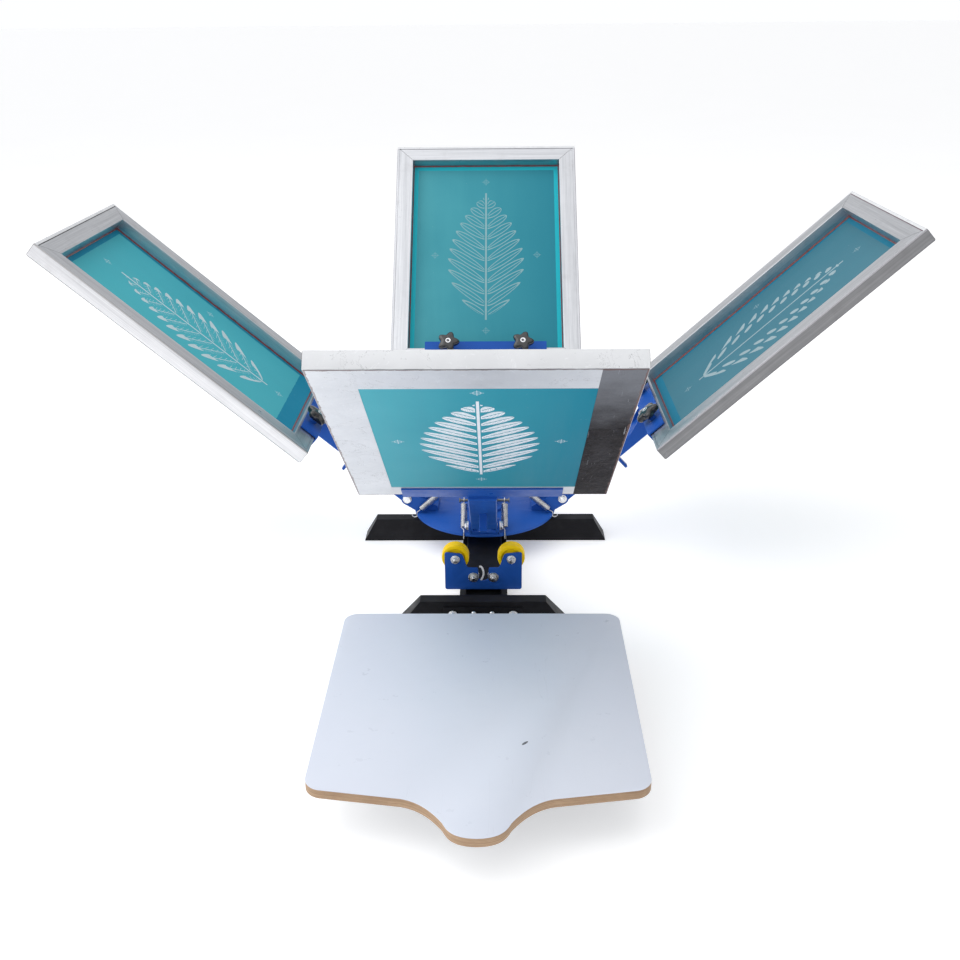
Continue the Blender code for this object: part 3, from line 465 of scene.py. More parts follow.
def stencil(name, kind, ink):
    """Emulsion-coated mesh. The open, uncoated mesh is a fern frond, or a part
    of it, of the kind that one colour of a print needs."""
    m = Mat(name, 0.0, 0.44, IOR=1.07)
    x, y, z = m.xyz()
    mid = ARM_REACH + FRAME_L / 2 + 0.004
    half = 0.172
    t = (y - mid) / (2 * half) + 0.5                 # 0 at the hinge end, 1 at the free end
    s = x.abs()
    tc = t.clamp()
    inside = t.gt(0.0) * t.lt(1.0)
    reach = (tc * math.pi).sin().max(0.0).pow(0.62) * 0.100 * (1.12 - tc * 0.35)
    pitch = 0.0315
    ph = ((y - mid) - s * 0.72) / pitch
    local = ph.fract() - 0.5
    along = (s / reach.max(0.001)).min(1.0)
    width = ((along * math.pi).sin().max(0.0).pow(0.55)) * 0.40
    leaf = local.abs().lt(width) * s.lt(reach) * inside
    vein = local.abs().lt(0.035) * s.gt(0.006)
    side = ((local.abs() * 1.9 + along * 3.1) * 2.2).fract().lt(0.10) * along.lt(0.80) * along.gt(0.12)
    stem = s.lt(0.0022) * (y - mid).abs().lt(half + 0.012)
    gapline = s.gt(0.0040)
    if kind == "leaves":
        art = (leaf * (1.0 - vein) * (1.0 - side) * gapline).max(stem)
    elif kind == "outline":
        inner = local.abs().lt(width - 0.085) * s.lt(reach * 0.93)
        art = (leaf * (1.0 - inner) * gapline).max(stem).max(leaf * vein * gapline)
    elif kind == "veins":
        art = (leaf * vein.max(side)).max(stem).max(leaf * (1.0 - along.lt(0.72)))
    else:
        berry = ((local * pitch).pow(2.0) + (s - reach * 0.55).pow(2.0)).sqrt().lt(0.0088)
        ring = ((local * pitch).pow(2.0) + (s - reach * 0.55).pow(2.0)).sqrt().lt(0.0055)
        tips = leaf * along.gt(0.76)
        art = (berry * (1.0 - ring * 0.0) * inside).max(tips).max(stem)
    # registration crosses at the four sides of the image
    marks = None
    for cx, cy in ((0.0, half + 0.046), (0.0, -half - 0.042), (0.128, 0.0), (-0.128, 0.0)):
        dx, dy = (x - cx).abs(), (y - (mid + cy)).abs()
        cross = (dx.lt(0.0007) * dy.lt(0.010)).max(dy.lt(0.0007) * dx.lt(0.010))
        d = (dx.pow(2.0) + dy.pow(2.0)).sqrt()
        cross = cross.max((d - 0.0058).abs().lt(0.0006))
        marks = cross if marks is None else marks.max(cross)
    edge_noise = m.noise(900.0, 2.0, 0.5)
    threads = (x * (1.0 / 0.00085)).fract() - 0.5
    wefts = (y * (1.0 / 0.00085)).fract() - 0.5
    weave = threads.abs().max(wefts.abs())
    streak = m.noise(1.0, 4.0, 0.6, vec=m.stretch((34.0, 2.2, 1.0)))
    tone = m.noise(4.5, 3.0, 0.5)
    base = m.mix(m.span(tone, 0.3, 0.7, 0.0, 1.0), ink[0], ink[1])
    base = m.mix(m.span(streak, 0.40, 0.75, 0.0, 0.35), base, ink[2])
    # painted light and shade: the coated field shifts across the screen towards the far side's tone
    base = m.mix(m.span((x + 0.0).s, 0.15 * ink[6], -0.17 * ink[6], 0.0, 0.92), base, ink[4])
    # bare mesh between the coated field and the frame
    du = FRAME_W / 2 - FRAME_B - s
    dv = (ARM_REACH + FRAME_L - FRAME_B) - y
    dw = (y - (ARM_REACH + FRAME_B)) * (0.013 / ink[7])
    wob = m.x(m.noise(60.0, 3.0, 0.6)) * 0.0012
    rim = du.min(dv).min(dw).lt(wob + 0.0125) * du.min(dv).min(dw).gt(-0.004)
    base = m.mix(rim.s, base, ink[5])
    base = m.mix(m.span((weave * 1.0).s, 0.40, 0.5, 0.0, 0.16), base, tuple(v * 0.55 for v in ink[1]))
    pin = m.x(m.voronoi(120.0)).lt(0.045) * m.x(m.noise(17.0, 2.0, 0.5)).gt(0.60)
    base = m.mix((pin * 0.6).s, base, (0.55, 0.66, 0.68))
    open_tone = m.mix(m.span(m.noise(40.0, 4.0, 0.6), 0.35, 0.7, 0.0, 1.0), ink[3], tuple(v * 0.90 for v in ink[3]))
    open_tone = m.mix(m.span((weave * 1.0).s, 0.38, 0.5, 0.0, 0.30), open_tone, tuple(v * 0.72 for v in ink[3]))
    c = m.mix(art.clamp().s, base, open_tone)
    c = m.mix((marks * 0.55).s, c, ink[3])
    m.colour(c)
    m.rough(m.span(streak, 0.3, 0.75, 0.30, 0.50))
    m.bump(((weave * 1.0).s, 0.05, 0.0001), (art.clamp().s, 0.25, 0.00005), (streak, 0.08, 0.0003), (edge_noise, 0.03, 0.0001))
    return m.m


# coated field (two tones and a streak), open mesh, far side of the field, bare rim, which side is the far one, and the
# rim's width at the hinge end.
# Each head's tones hold the emulsion's colour and painted light and shade, with the far side's tone a painted gradient;
# the right head's are darker, the left head's lighter.
INK_AND_LIGHT_TONES = {
    "front": ((0.088, 0.400, 0.475), (0.066, 0.350, 0.430), (0.105, 0.430, 0.500), (0.80, 0.83, 0.88), (0.003, 0.180, 0.275), (0.20, 0.42, 0.47), 1, 0.013),
    "back": ((0.085, 0.365, 0.425), (0.062, 0.305, 0.370), (0.095, 0.390, 0.440), (0.27, 0.45, 0.48), (0.030, 0.225, 0.300), (0.028, 0.470, 0.560), -1, 0.013),
    "left": ((0.080, 0.450, 0.530), (0.062, 0.390, 0.475), (0.095, 0.480, 0.550), (0.56, 0.70, 0.74), (0.085, 0.470, 0.540), (0.018, 0.250, 0.400), 1, 0.040),
    "right": ((0.082, 0.215, 0.275), (0.062, 0.185, 0.245), (0.095, 0.245, 0.300), (0.32, 0.43, 0.47), (0.050, 0.175, 0.235), (0.022, 0.190, 0.300), 1, 0.020),
}
STENCIL = {h: stencil("emulsion_" + h, k, INK_AND_LIGHT_TONES[h])
           for h, k in (("front", "leaves"), ("back", "outline"), ("left", "veins"), ("right", "berries"))}


# --------------------------------------------------------------- mesh helpers
def new_object(name, bm_or_mesh, material, matrix=None, sharp=35, smooth=True):
    if isinstance(bm_or_mesh, bmesh.types.BMesh):
        me = bpy.data.meshes.new(name)
        bm_or_mesh.to_mesh(me)
        bm_or_mesh.free()
    else:
        me = bm_or_mesh
    ob = bpy.data.objects.new(name, me)
    scene_link(ob)
    for mat in (material if isinstance(material, (list, tuple)) else [material]):
        me.materials.append(mat)
    if smooth:
        me.shade_smooth()
        me.set_sharp_from_angle(angle=math.radians(sharp))
    if matrix is not None:
        ob.matrix_world = matrix
    return ob


def scene_link(ob):
    bpy.context.scene.collection.objects.link(ob)


def turned(name, profile, material, matrix, seg=96, axis="z", at=(0, 0, 0), sharp=32):
    """A turned piece. The profile is a closed loop of (radius, height) points."""
    bm = bmesh.new()
    rings = []
    for k in range(seg):
        a = 2 * math.pi * k / seg
        ring = []
        for r, h in profile:
            p = Vector((r * math.cos(a), r * math.sin(a), h))
            ring.append(bm.verts.new(p))
        rings.append(ring)
    n = len(profile)
    for k in range(seg):
        a, b = rings[k], rings[(k + 1) % seg]
        for i in range(n):
            j = (i + 1) % n
            quad = [a[i], b[i], b[j], a[j]]
            bm.faces.new(quad)
    bmesh.ops.remove_doubles(bm, verts=bm.verts, dist=1e-7)
    bmesh.ops.dissolve_degenerate(bm, edges=bm.edges, dist=1e-7)
    bmesh.ops.recalc_face_normals(bm, faces=bm.faces)
    turn = {"z": Matrix.Identity(4), "y": Matrix.Rotation(-math.pi / 2, 4, "X"),
            "x": Matrix.Rotation(math.pi / 2, 4, "Y")}[axis]
    bmesh.ops.transform(bm, matrix=Matrix.Translation(at) @ turn, verts=bm.verts)
    return new_object(name, bm, material, matrix, sharp)


def rounded(profile, r, steps=3, keep=()):
    """Rounds each convex corner of a closed profile, or leaves those in keep."""
    out = []
    n = len(profile)
    for i, p in enumerate(profile):
        p0, p1, p2 = Vector(profile[i - 1]), Vector(p), Vector(profile[(i + 1) % n])
        a, b = (p0 - p1), (p2 - p1)
        rr = r[i] if isinstance(r, (list, tuple)) else r
        if i in keep or rr <= 0 or a.length < 1e-9 or b.length < 1e-9:
            out.append(tuple(p1))
            continue
        rr = min(rr, a.length * 0.45, b.length * 0.45)
        a, b = a.normalized(), b.normalized()
        for s in range(steps + 1):
            t = s / steps
            q = p1 + a * rr * (1 - t) ** 2 + b * rr * t ** 2
            out.append(tuple(q))
    return out


def apply_mods(ob):
    deps = bpy.context.evaluated_depsgraph_get()
    deps.update()
    me = bpy.data.meshes.new_from_object(ob.evaluated_get(deps))
    old = ob.data
    ob.modifiers.clear()
    ob.data = me
    if old.users == 0:
        bpy.data.meshes.remove(old)
    return ob


def boolean(ob, tool, how="DIFFERENCE"):
    mod = ob.modifiers.new("b", "BOOLEAN")
    mod.operation, mod.solver, mod.object = how, "EXACT", tool
    apply_mods(ob)
    bpy.data.objects.remove(tool, do_unlink=True)
    return ob


def bevel(ob, width, seg=2, angle=35, sharp=35):
    mod = ob.modifiers.new("bev", "BEVEL")
    mod.width, mod.segments, mod.limit_method = width, seg, "ANGLE"
    mod.angle_limit = math.radians(angle)
    apply_mods(ob)
    ob.data.shade_smooth()
    ob.data.set_sharp_from_angle(angle=math.radians(sharp))
    return ob


def block(name, lo, hi, material, matrix=None):
    bm = bmesh.new()
    bmesh.ops.create_cube(bm, size=1.0)
    for v in bm.verts:
        v.co = Vector([(lo[i] + hi[i]) / 2 + v.co[i] * (hi[i] - lo[i]) for i in range(3)])
    return new_object(name, bm, material, matrix)


def prism(name, pts, a, b, plane, material, matrix=None, sharp=35):
    """Flat outline extruded from a to b: along Z for xy, X for yz, Y for xz."""
    bm = bmesh.new()
    put = {"xy": lambda p, h: (p[0], p[1], h), "yz": lambda p, h: (h, p[0], p[1]), "xz": lambda p, h: (p[0], h, p[1])}[plane]
    lower = [bm.verts.new(put(p, a)) for p in pts]
    upper = [bm.verts.new(put(p, b)) for p in pts]
    bm.faces.new(lower)
    bm.faces.new(upper[::-1])
    n = len(pts)
    for i in range(n):
        j = (i + 1) % n
        bm.faces.new((lower[i], upper[i], upper[j], lower[j]))
    bmesh.ops.recalc_face_normals(bm, faces=bm.faces)
    return new_object(name, bm, material, matrix, sharp)


def tube(name, pts, r, material, matrix=None, sides=12, sharp=60):
    """Round wire along points, with flat ends. Frames are carried along the path."""
    bm = bmesh.new()
    pts = [Vector(p) for p in pts]
    n = len(pts)
    tan = [(pts[min(i + 1, n - 1)] - pts[max(i - 1, 0)]).normalized() for i in range(n)]
    up = Vector((0, 0, 1)) if abs(tan[0].z) < 0.9 else Vector((1, 0, 0))
    u = tan[0].cross(up).normalized()
    rings = []
    for i in range(n):
        if i:
            axis = tan[i - 1].cross(tan[i])
            if axis.length > 1e-9:
                u = Matrix.Rotation(tan[i - 1].angle(tan[i]), 3, axis.normalized()) @ u
        u = (u - tan[i] * u.dot(tan[i])).normalized()
        w = tan[i].cross(u)
        rings.append([bm.verts.new(pts[i] + r * (math.cos(2 * math.pi * k / sides) * u + math.sin(2 * math.pi * k / sides) * w))
                      for k in range(sides)])
    for i in range(n - 1):
        for k in range(sides):
            j = (k + 1) % sides
            bm.faces.new((rings[i][k], rings[i][j], rings[i + 1][j], rings[i + 1][k]))
    bm.faces.new(rings[0][::-1])
    bm.faces.new(rings[-1])
    bmesh.ops.recalc_face_normals(bm, faces=bm.faces)
    return new_object(name, bm, material, matrix, sharp)


def curve_through(pts, per=8):
    """Points of a smooth curve through the given ones."""
    p = [Vector(q) for q in pts]
    p = [p[0] * 2 - p[1]] + p + [p[-1] * 2 - p[-2]]
    out = []
    for i in range(1, len(p) - 2):
        for k in range(per):
            t = k / per
            out.append(0.5 * ((2 * p[i]) + (-p[i - 1] + p[i + 1]) * t + (2 * p[i - 1] - 5 * p[i] + 4 * p[i + 1] - p[i + 2]) * t * t
                              + (-p[i - 1] + 3 * p[i] - 3 * p[i + 1] + p[i + 2]) * t ** 3))
    out.append(p[-2])
    return out


def merge(name, obs, material=None, matrix=None):
    """Joins finished parts into one object, keeping their materials."""
    bm = bmesh.new()
    mats = []
    for o in obs:
        me = o.data
        index = []
        for mt in me.materials:
            if mt not in mats:
                mats.append(mt)
            index.append(mats.index(mt))
        tmp = bmesh.new()
        tmp.from_mesh(me)
        for f in tmp.faces:
            f.material_index = index[f.material_index] if index else 0
        carry = bpy.data.meshes.new("tmp")
        tmp.to_mesh(carry)
        tmp.free()
        bm.from_mesh(carry)
        bpy.data.meshes.remove(carry)
    me = bpy.data.meshes.new(name)
    bm.to_mesh(me)
    bm.free()
    for o in obs:
        bpy.data.objects.remove(o, do_unlink=True)
    ob = bpy.data.objects.new(name, me)
    scene_link(ob)
    for mt in (mats if material is None else [material]):
        me.materials.append(mt)
    me.shade_smooth()
    me.set_sharp_from_angle(angle=math.radians(35))
    if matrix is not None:
        ob.matrix_world = matrix
    return ob


def hex_head(name, flats, a, b, at, axis, material, chamfer=True):
    """Hexagonal head from a to b along an axis, its outer end at b, corners turned off."""
    r = flats / math.sqrt(3)
    h = b - a
    sgn = 1 if h > 0 else -1
    h = abs(h)
    body = [(0.0, 0.0), (r * 1.02, 0.0), (r * 1.02, h - (0.16 * r if chamfer else 0)),
            (flats / 2 * 0.94, h), (0.0, h)]
    bm = bmesh.new()
    bmesh.ops.create_cone(bm, cap_ends=True, segments=6, radius1=r, radius2=r, depth=h)
    bmesh.ops.translate(bm, vec=(0, 0, h / 2), verts=bm.verts)
    ob = new_object(name, bm, material)
    cone = turned("c", body, material, None, 48)
    boolean(ob, cone, "INTERSECT")
    turn = {"z": Matrix.Identity(4), "y": Matrix.Rotation(-math.pi / 2, 4, "X"),
            "x": Matrix.Rotation(math.pi / 2, 4, "Y")}[axis]
    if sgn < 0:
        turn = turn @ Matrix.Rotation(math.pi, 4, "X")
    off = {"x": (a, at[0], at[1]), "y": (at[0], a, at[1]), "z": (at[0], at[1], a)}[axis]
    ob.data.transform(Matrix.Translation(off) @ turn)
    return ob


def disc_solid(name, r, a, b, at, axis, material, seg=48, edge=0.0003, r_in=0.0):
    """Round bar, washer or ring with softened edges from a to b along an axis."""
    lo, hi = min(a, b), max(a, b)
    prof = [(r_in, lo), (r - edge, lo), (r, lo + edge), (r, hi - edge), (r - edge, hi), (r_in, hi)]
    at3 = {"x": (0, at[0], at[1]), "y": (at[0], 0, at[1]), "z": (at[0], at[1], 0)}[axis]
    return turned(name, prof, material, None, seg, axis, at3)


def threaded(name, r, a, b, at, axis, material, pitch=0.0012, seg=32):
    """Bolt shank whose surface shows thread rings."""
    lo, hi = min(a, b), max(a, b)
    n = max(2, int((hi - lo) / pitch))
    prof = [(0.0, lo), (r * 0.86, lo)]
    for i in range(n):
        z = lo + (hi - lo) * (i + 0.5) / n
        prof += [(r * 0.90, z - pitch * 0.45), (r, z)]
    prof += [(r * 0.86, hi), (0.0, hi)]
    at3 = {"x": (0, at[0], at[1]), "y": (at[0], 0, at[1]), "z": (at[0], at[1], 0)}[axis]
    return turned(name, prof, material, None, seg, axis, at3, 60)


def dress(node, material, width=0.0, seg=2, angle=35):
    """Material for a carried-over node, with its edges softened."""
    ob = NODES[node]
    ob.data.materials.clear()
    ob.data.materials.append(material)
    weld = ob.modifiers.new("weld", "WELD")
    weld.merge_threshold = 0.00002
    if width:
        mod = ob.modifiers.new("edges", "BEVEL")
        mod.width, mod.segments, mod.limit_method = width, seg, "ANGLE"
        mod.angle_limit = math.radians(angle)
        mod.harden_normals = False
    ob.data.shade_smooth()
    mod = ob.modifiers.new("normals", "WEIGHTED_NORMAL")
    mod.keep_sharp = True
    return ob


def done(ob, body, slot, *nodes):
    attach(ob, body)
    if nodes:
        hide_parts(*nodes)
    return ob


# -------------------------------------------------------------- base and gate
for n in ("rear_foot", "front_foot", "base_beam", "platen_bracket"):
    dress(n, BLACK)
dress("spindle", ZINC, 0.0006)
dress("thrust_bearing", ZINC, 0.0006)

# gate plate, with rounded ears and corners
def arc(cx, cy, r, a0, a1, n):
    return [(cx + r * math.cos(math.radians(a0 + (a1 - a0) * i / n)),
             cy + r * math.sin(math.radians(a0 + (a1 - a0) * i / n))) for i in range(n + 1)]


half, low, ear = 0.0745, 0.0695, 0.1023
side = arc(half - 0.0045, 0.0233 + 0.0045, 0.0045, -90, 0, 6)
side += arc(half - 0.004, ear - 0.004, 0.004, 0, 88, 5)
side += [(0.0445, ear - 0.0026), (0.0412, ear - 0.0046), (0.0390, ear - 0.0078), (0.0358, 0.0845), (0.0325, low + 0.0045),
         (0.0308, low + 0.0015), (0.0280, low + 0.0002)]
side += [(0.0128, low), (0.0116, low - 0.0005), (0.0108, low - 0.0020), (0.0102, 0.0655), (0.0098, 0.0470), (0.0086, 0.0450), (0.0060, 0.0438), (0.0010, 0.0414)]
pts = side + [(-x, z) for x, z in reversed(side)]
gate = prism("gate_plate_finish", pts, GATE_Y - GATE_T, GATE_Y, "xz", BLUE, PRESS)
bevel(gate, 0.0005, 2, 50)
done(gate, "base", "blue_paint", "gate_plate")

for s, sx in (("left", -1), ("right", 1)):
    x, z = sx * ROLLER_X, ROLLER_Z
    y0 = GATE_Y - GATE_T - GAP
    parts = [disc_solid("w", 0.0088, y0 - 0.0012, y0, (x, z), "y", ZINC),
             hex_head("h", 0.013, y0 - 0.0012, y0 - 0.0066, (x, z), "y", ZINC),
             threaded("t", 0.0040, y0 - 0.0085, y0 - 0.0060, (x, z), "y", ZINC),
             disc_solid("s", 0.0040, GATE_Y - GATE_T - 0.003, GATE_Y + ROLLER_L + 0.0028, (x, z), "y", ZINC, 32),
             hex_head("n", 0.013, GATE_Y + ROLLER_L + 0.0020, GATE_Y + ROLLER_L + 0.0072, (x, z), "y", ZINC)]
    done(merge("roller_axle_" + s, parts, matrix=PRESS), "base", "zinc_steel", "roller_bolt_" + s)
    x, z = sx * BEARING_X, BEARING_Z
    parts = [disc_solid("w", 0.0102, y0 - 0.0013, y0, (x, z), "y", ZINC),
             disc_solid("w2", 0.0080, y0 - 0.0024, y0 - 0.0012, (x, z), "y", SPRING_STEEL),
             hex_head("h", 0.0112, y0 - 0.0024, y0 - 0.0068, (x, z), "y", ZINC),
             threaded("t", 0.0032, y0 - 0.0088, y0 - 0.0064, (x, z), "y", ZINC),
             disc_solid("s", 0.0032, GATE_Y - GATE_T - 0.003, GATE_Y + BEARING_L + 0.0020, (x, z), "y", ZINC, 32),
             hex_head("n", 0.0100, GATE_Y + BEARING_L + 0.0014, GATE_Y + BEARING_L + 0.0055, (x, z), "y", ZINC)]
    done(merge("bearing_axle_" + s, parts, matrix=PRESS), "base", "zinc_steel", "bearing_bolt_" + s)

    # guide roller: moulded wheel with a crowned tread, side ribs and a steel bush
    R, L = ROLLER_R, ROLLER_L / 2
    prof = [(0.0062, -L + 0.0016), (0.0098, -L + 0.0016), (0.0104, -L + 0.0030), (0.0150, -L + 0.0034), (0.0172, -L + 0.0030),
            (0.0186, -L + 0.0010), (0.0196, -L), (0.0236, -L), (0.0252, -L + 0.0006), (0.0261, -L + 0.0018),
            (0.0264, -L + 0.0032), (R, -0.0052), (0.0262, -0.0046), (0.0262, -0.0036), (R, -0.0030), (R, 0.0030),
            (0.0262, 0.0036), (0.0262, 0.0046), (R, 0.0052), (0.0264, L - 0.0032), (0.0261, L - 0.0018), (0.0252, L - 0.0006),
            (0.0236, L), (0.0196, L), (0.0186, L - 0.0010), (0.0172, L - 0.0030), (0.0150, L - 0.0034), (0.0104, L - 0.0030),
            (0.0098, L - 0.0016), (0.0062, L - 0.0016)]
    at = (sx * ROLLER_X, GATE_Y + 0.0009 + L, ROLLER_Z)
    place = PRESS @ Matrix.Translation(at)
    wheel = turned("roller_tyre_" + s, prof, NYLON, place, 128, "y")
    done(wheel, "roller_" + s, "yellow_roller", "guide_roller_" + s)
    bush = turned("roller_bush_" + s, [(0.0046, -L + 0.0006), (0.0058, -L + 0.0006), (0.0062, -L + 0.0010),
                                       (0.0062, L - 0.0010), (0.0058, L - 0.0006), (0.0046, L - 0.0006)], ZINC, place, 48, "y")
    done(bush, "roller_" + s, "zinc_steel")
    # gate bearing: outer race, shield and inner race
    R, L = BEARING_R, BEARING_L / 2
    prof = [(0.0037, -L), (0.0053, -L), (0.0055, -L + 0.0002), (0.0056, -L + 0.0007), (0.0086, -L + 0.0007), (0.0087, -L + 0.0002),
            (0.0089, -L), (R - 0.0006, -L), (R - 0.0002, -L + 0.0003), (R, -L + 0.0007), (R, L - 0.0007), (R - 0.0002, L - 0.0003),
            (R - 0.0006, L), (0.0089, L), (0.0087, L - 0.0002), (0.0086, L - 0.0007), (0.0056, L - 0.0007), (0.0055, L - 0.0002),
            (0.0053, L), (0.0037, L)]
    at = (sx * BEARING_X, GATE_Y + 0.0007 + L, BEARING_Z)
    ring = turned("ball_bearing_" + s, prof, SHIELD, PRESS @ Matrix.Translation(at), 96, "y")
    done(ring, "bearing_" + s, "zinc_steel", "gate_bearing_" + s)

# small wire hook on the gate's face
hook = tube("gate_hook", curve_through([(-0.0075, GATE_Y - GATE_T - 0.0030, 0.0738), (-0.0050, GATE_Y - GATE_T - 0.0026, 0.0742),
                                        (-0.0022, GATE_Y - GATE_T - 0.0030, 0.0712), (-0.0002, GATE_Y - GATE_T - 0.0030, 0.0655),
                                        (0.0004, GATE_Y - GATE_T - 0.0028, 0.0590), (-0.0008, GATE_Y - GATE_T - 0.0028, 0.0530),
                                        (-0.0030, GATE_Y - GATE_T - 0.0024, 0.0478), (-0.0042, GATE_Y - GATE_T - 0.0021, 0.0452)], 8),
            0.0018, HOOK_WIRE, PRESS, 14)
done(hook, "base", "zinc_steel")

# platen arm with its end flange and fasteners
def foot_face(z):
    return -0.422 + 0.010 * z / FOOT_TOP - GAP


arm = block("platen_arm_finish", (-0.044, -0.880, 0.0060), (0.044, -0.4222, 0.0205), BLACK)
bevel(arm, 0.0018, 3)
fl = prism("f", [(foot_face(z) - d, z) for z, d in ((0.004, 0), (0.036, 0), (0.036, 0.004), (0.004, 0.004))], -0.074, 0.074, "yz", BLACK)
bevel(fl, 0.0009, 2)
parts = [arm, fl]
for x in (-0.0564, 0.0564):
    parts += [disc_solid("w", 0.0088, -0.4242, -0.4215, (x, 0.0235), "y", ZINC),
              turned("h", [(0.0, -0.0052), (0.0030, -0.0050), (0.0050, -0.0038), (0.0062, -0.0016), (0.0064, 0.0), (0.0, 0.0)],
                     ZINC, None, 40, "y", (x, -0.4240, 0.0235))]
for x in (-0.0172, 0.0172):
    parts += [turned("h", [(0.0, -0.0030), (0.0022, -0.0028), (0.0038, -0.0018), (0.0046, 0.0), (0.0, 0.0)],
                     ZINC, None, 32, "y", (x, -0.4222, 0.0262))]
done(merge("platen_arm_and_flange", parts, matrix=PRESS), "base", "black_paint", "platen_arm")

# platen: board with a bare edge, and a pale laminate top
def bezier(p0, p1, p2, p3, n):
    out = []
    for i in range(1, n):
        t = i / n
        out.append(tuple((1 - t) ** 3 * a + 3 * (1 - t) ** 2 * t * b + 3 * (1 - t) * t * t * c + t ** 3 * d
                         for a, b, c, d in zip(p0, p1, p2, p3)))
    return out


def platen_outline(inset=0.0):
    PH = PLATEN_HALF
    right = arc(PH - 0.024, PLATEN_BACK - 0.024, 0.024 - inset, 90, 0, 14)
    right += arc(PH - 0.028, PLATEN_FRONT + 0.030, 0.028 - inset, 0, -84, 16)
    shoulder = (0.104, PLATEN_FRONT - 0.0155 + inset)
    neck = (0.0455 - inset * 0.8, PLATEN_TIP + 0.030 + inset * 0.5)
    right += [shoulder] + bezier(shoulder, (0.078, PLATEN_FRONT - 0.022 + inset), (0.060 - inset, PLATEN_TIP + 0.052 + inset), neck, 14)
    right += [neck] + bezier(neck, (0.039 - inset, PLATEN_TIP + 0.014 + inset), (0.030, PLATEN_TIP + 0.001 + inset), (0.0, PLATEN_TIP + inset), 16)
    return right + [(0.0, PLATEN_TIP + inset)] + [(-x, y) for x, y in reversed(right)]


board = prism("platen_board", platen_outline(0.0002), PLATEN_TOP - PLATEN_T, PLATEN_TOP - 0.0011, "xy", EDGE, PRESS)
bevel(board, 0.0008, 2, 60)
board.data.materials.append(BACKING)
for f in board.data.polygons:
    if f.normal.z < -0.95:
        f.material_index = 1
done(board, "base", "laminated_board", "platen")
top = prism("platen_laminate_top", platen_outline(0.0), PLATEN_TOP - 0.0011, PLATEN_TOP, "xy", LAMINATE, PRESS)
bevel(top, 0.0004, 2, 60)
done(top, "base", "laminated_board")

# ------------------------------------------------------------------ turntable
e = 0.0009
disc = turned("turntable_plate", [(SHAFT_R + 0.0006, DISC_TOP - DISC_T), (DISC_R - e, DISC_TOP - DISC_T), (DISC_R - e * 0.3, DISC_TOP - DISC_T + e * 0.3),
                                  (DISC_R, DISC_TOP - DISC_T + e), (DISC_R, DISC_TOP - e), (DISC_R - e * 0.3, DISC_TOP - e * 0.3),
                                  (DISC_R - e, DISC_TOP), (SHAFT_R + 0.0006, DISC_TOP)], BLUE, None, 192)
for name in HEADS:
    rot = Matrix.Rotation(math.radians(AZIMUTH[name]), 4, "Z")
    for sx in (-1, 1):
        p = rot @ Vector((sx * SPRING_X, HOOK_R, 0))
        boolean(disc, disc_solid("c", 0.0032, 0.04, 0.08, (p.x, p.y), "z", BLUE, 24))
disc.data.shade_smooth()
disc.data.set_sharp_from_angle(angle=math.radians(32))
disc.matrix_world = PRESS
done(disc, "turntable", "blue_paint", "turntable_disc")

hub = turned("turntable_collar", [(SHAFT_R + 0.0006, DISC_TOP + GAP), (0.0455, DISC_TOP + GAP), (0.046, DISC_TOP + 0.0009), (0.046, DISC_TOP + 0.0053),
                                  (0.0453, DISC_TOP + 0.006), (0.0310, DISC_TOP + 0.006), (0.0292, DISC_TOP + 0.0066), (0.0285, DISC_TOP + 0.0082),
                                  (0.0285, 0.1065), (0.0281, 0.1072), (0.0275, 0.1075), (0.0168, 0.1075), (SHAFT_R + 0.0006, 0.1069)],
             BLUE, PRESS, 128)
done(hub, "turntable", "blue_paint", "turntable_hub")

nut = [hex_head("h", 0.030, 0.1112, 0.1235, (0, 0), "z", ZINC),
       disc_solid("w", 0.0205, 0.1083, 0.1113, (0, 0), "z", ZINC, 64, 0.0004, 0.0104)]
boolean(nut[0], disc_solid("c", 0.0104, 0.09, 0.14, (0, 0), "z", ZINC, 40))
done(merge("spindle_top_nut", nut, matrix=PRESS), "base", "zinc_steel", "spindle_nut")


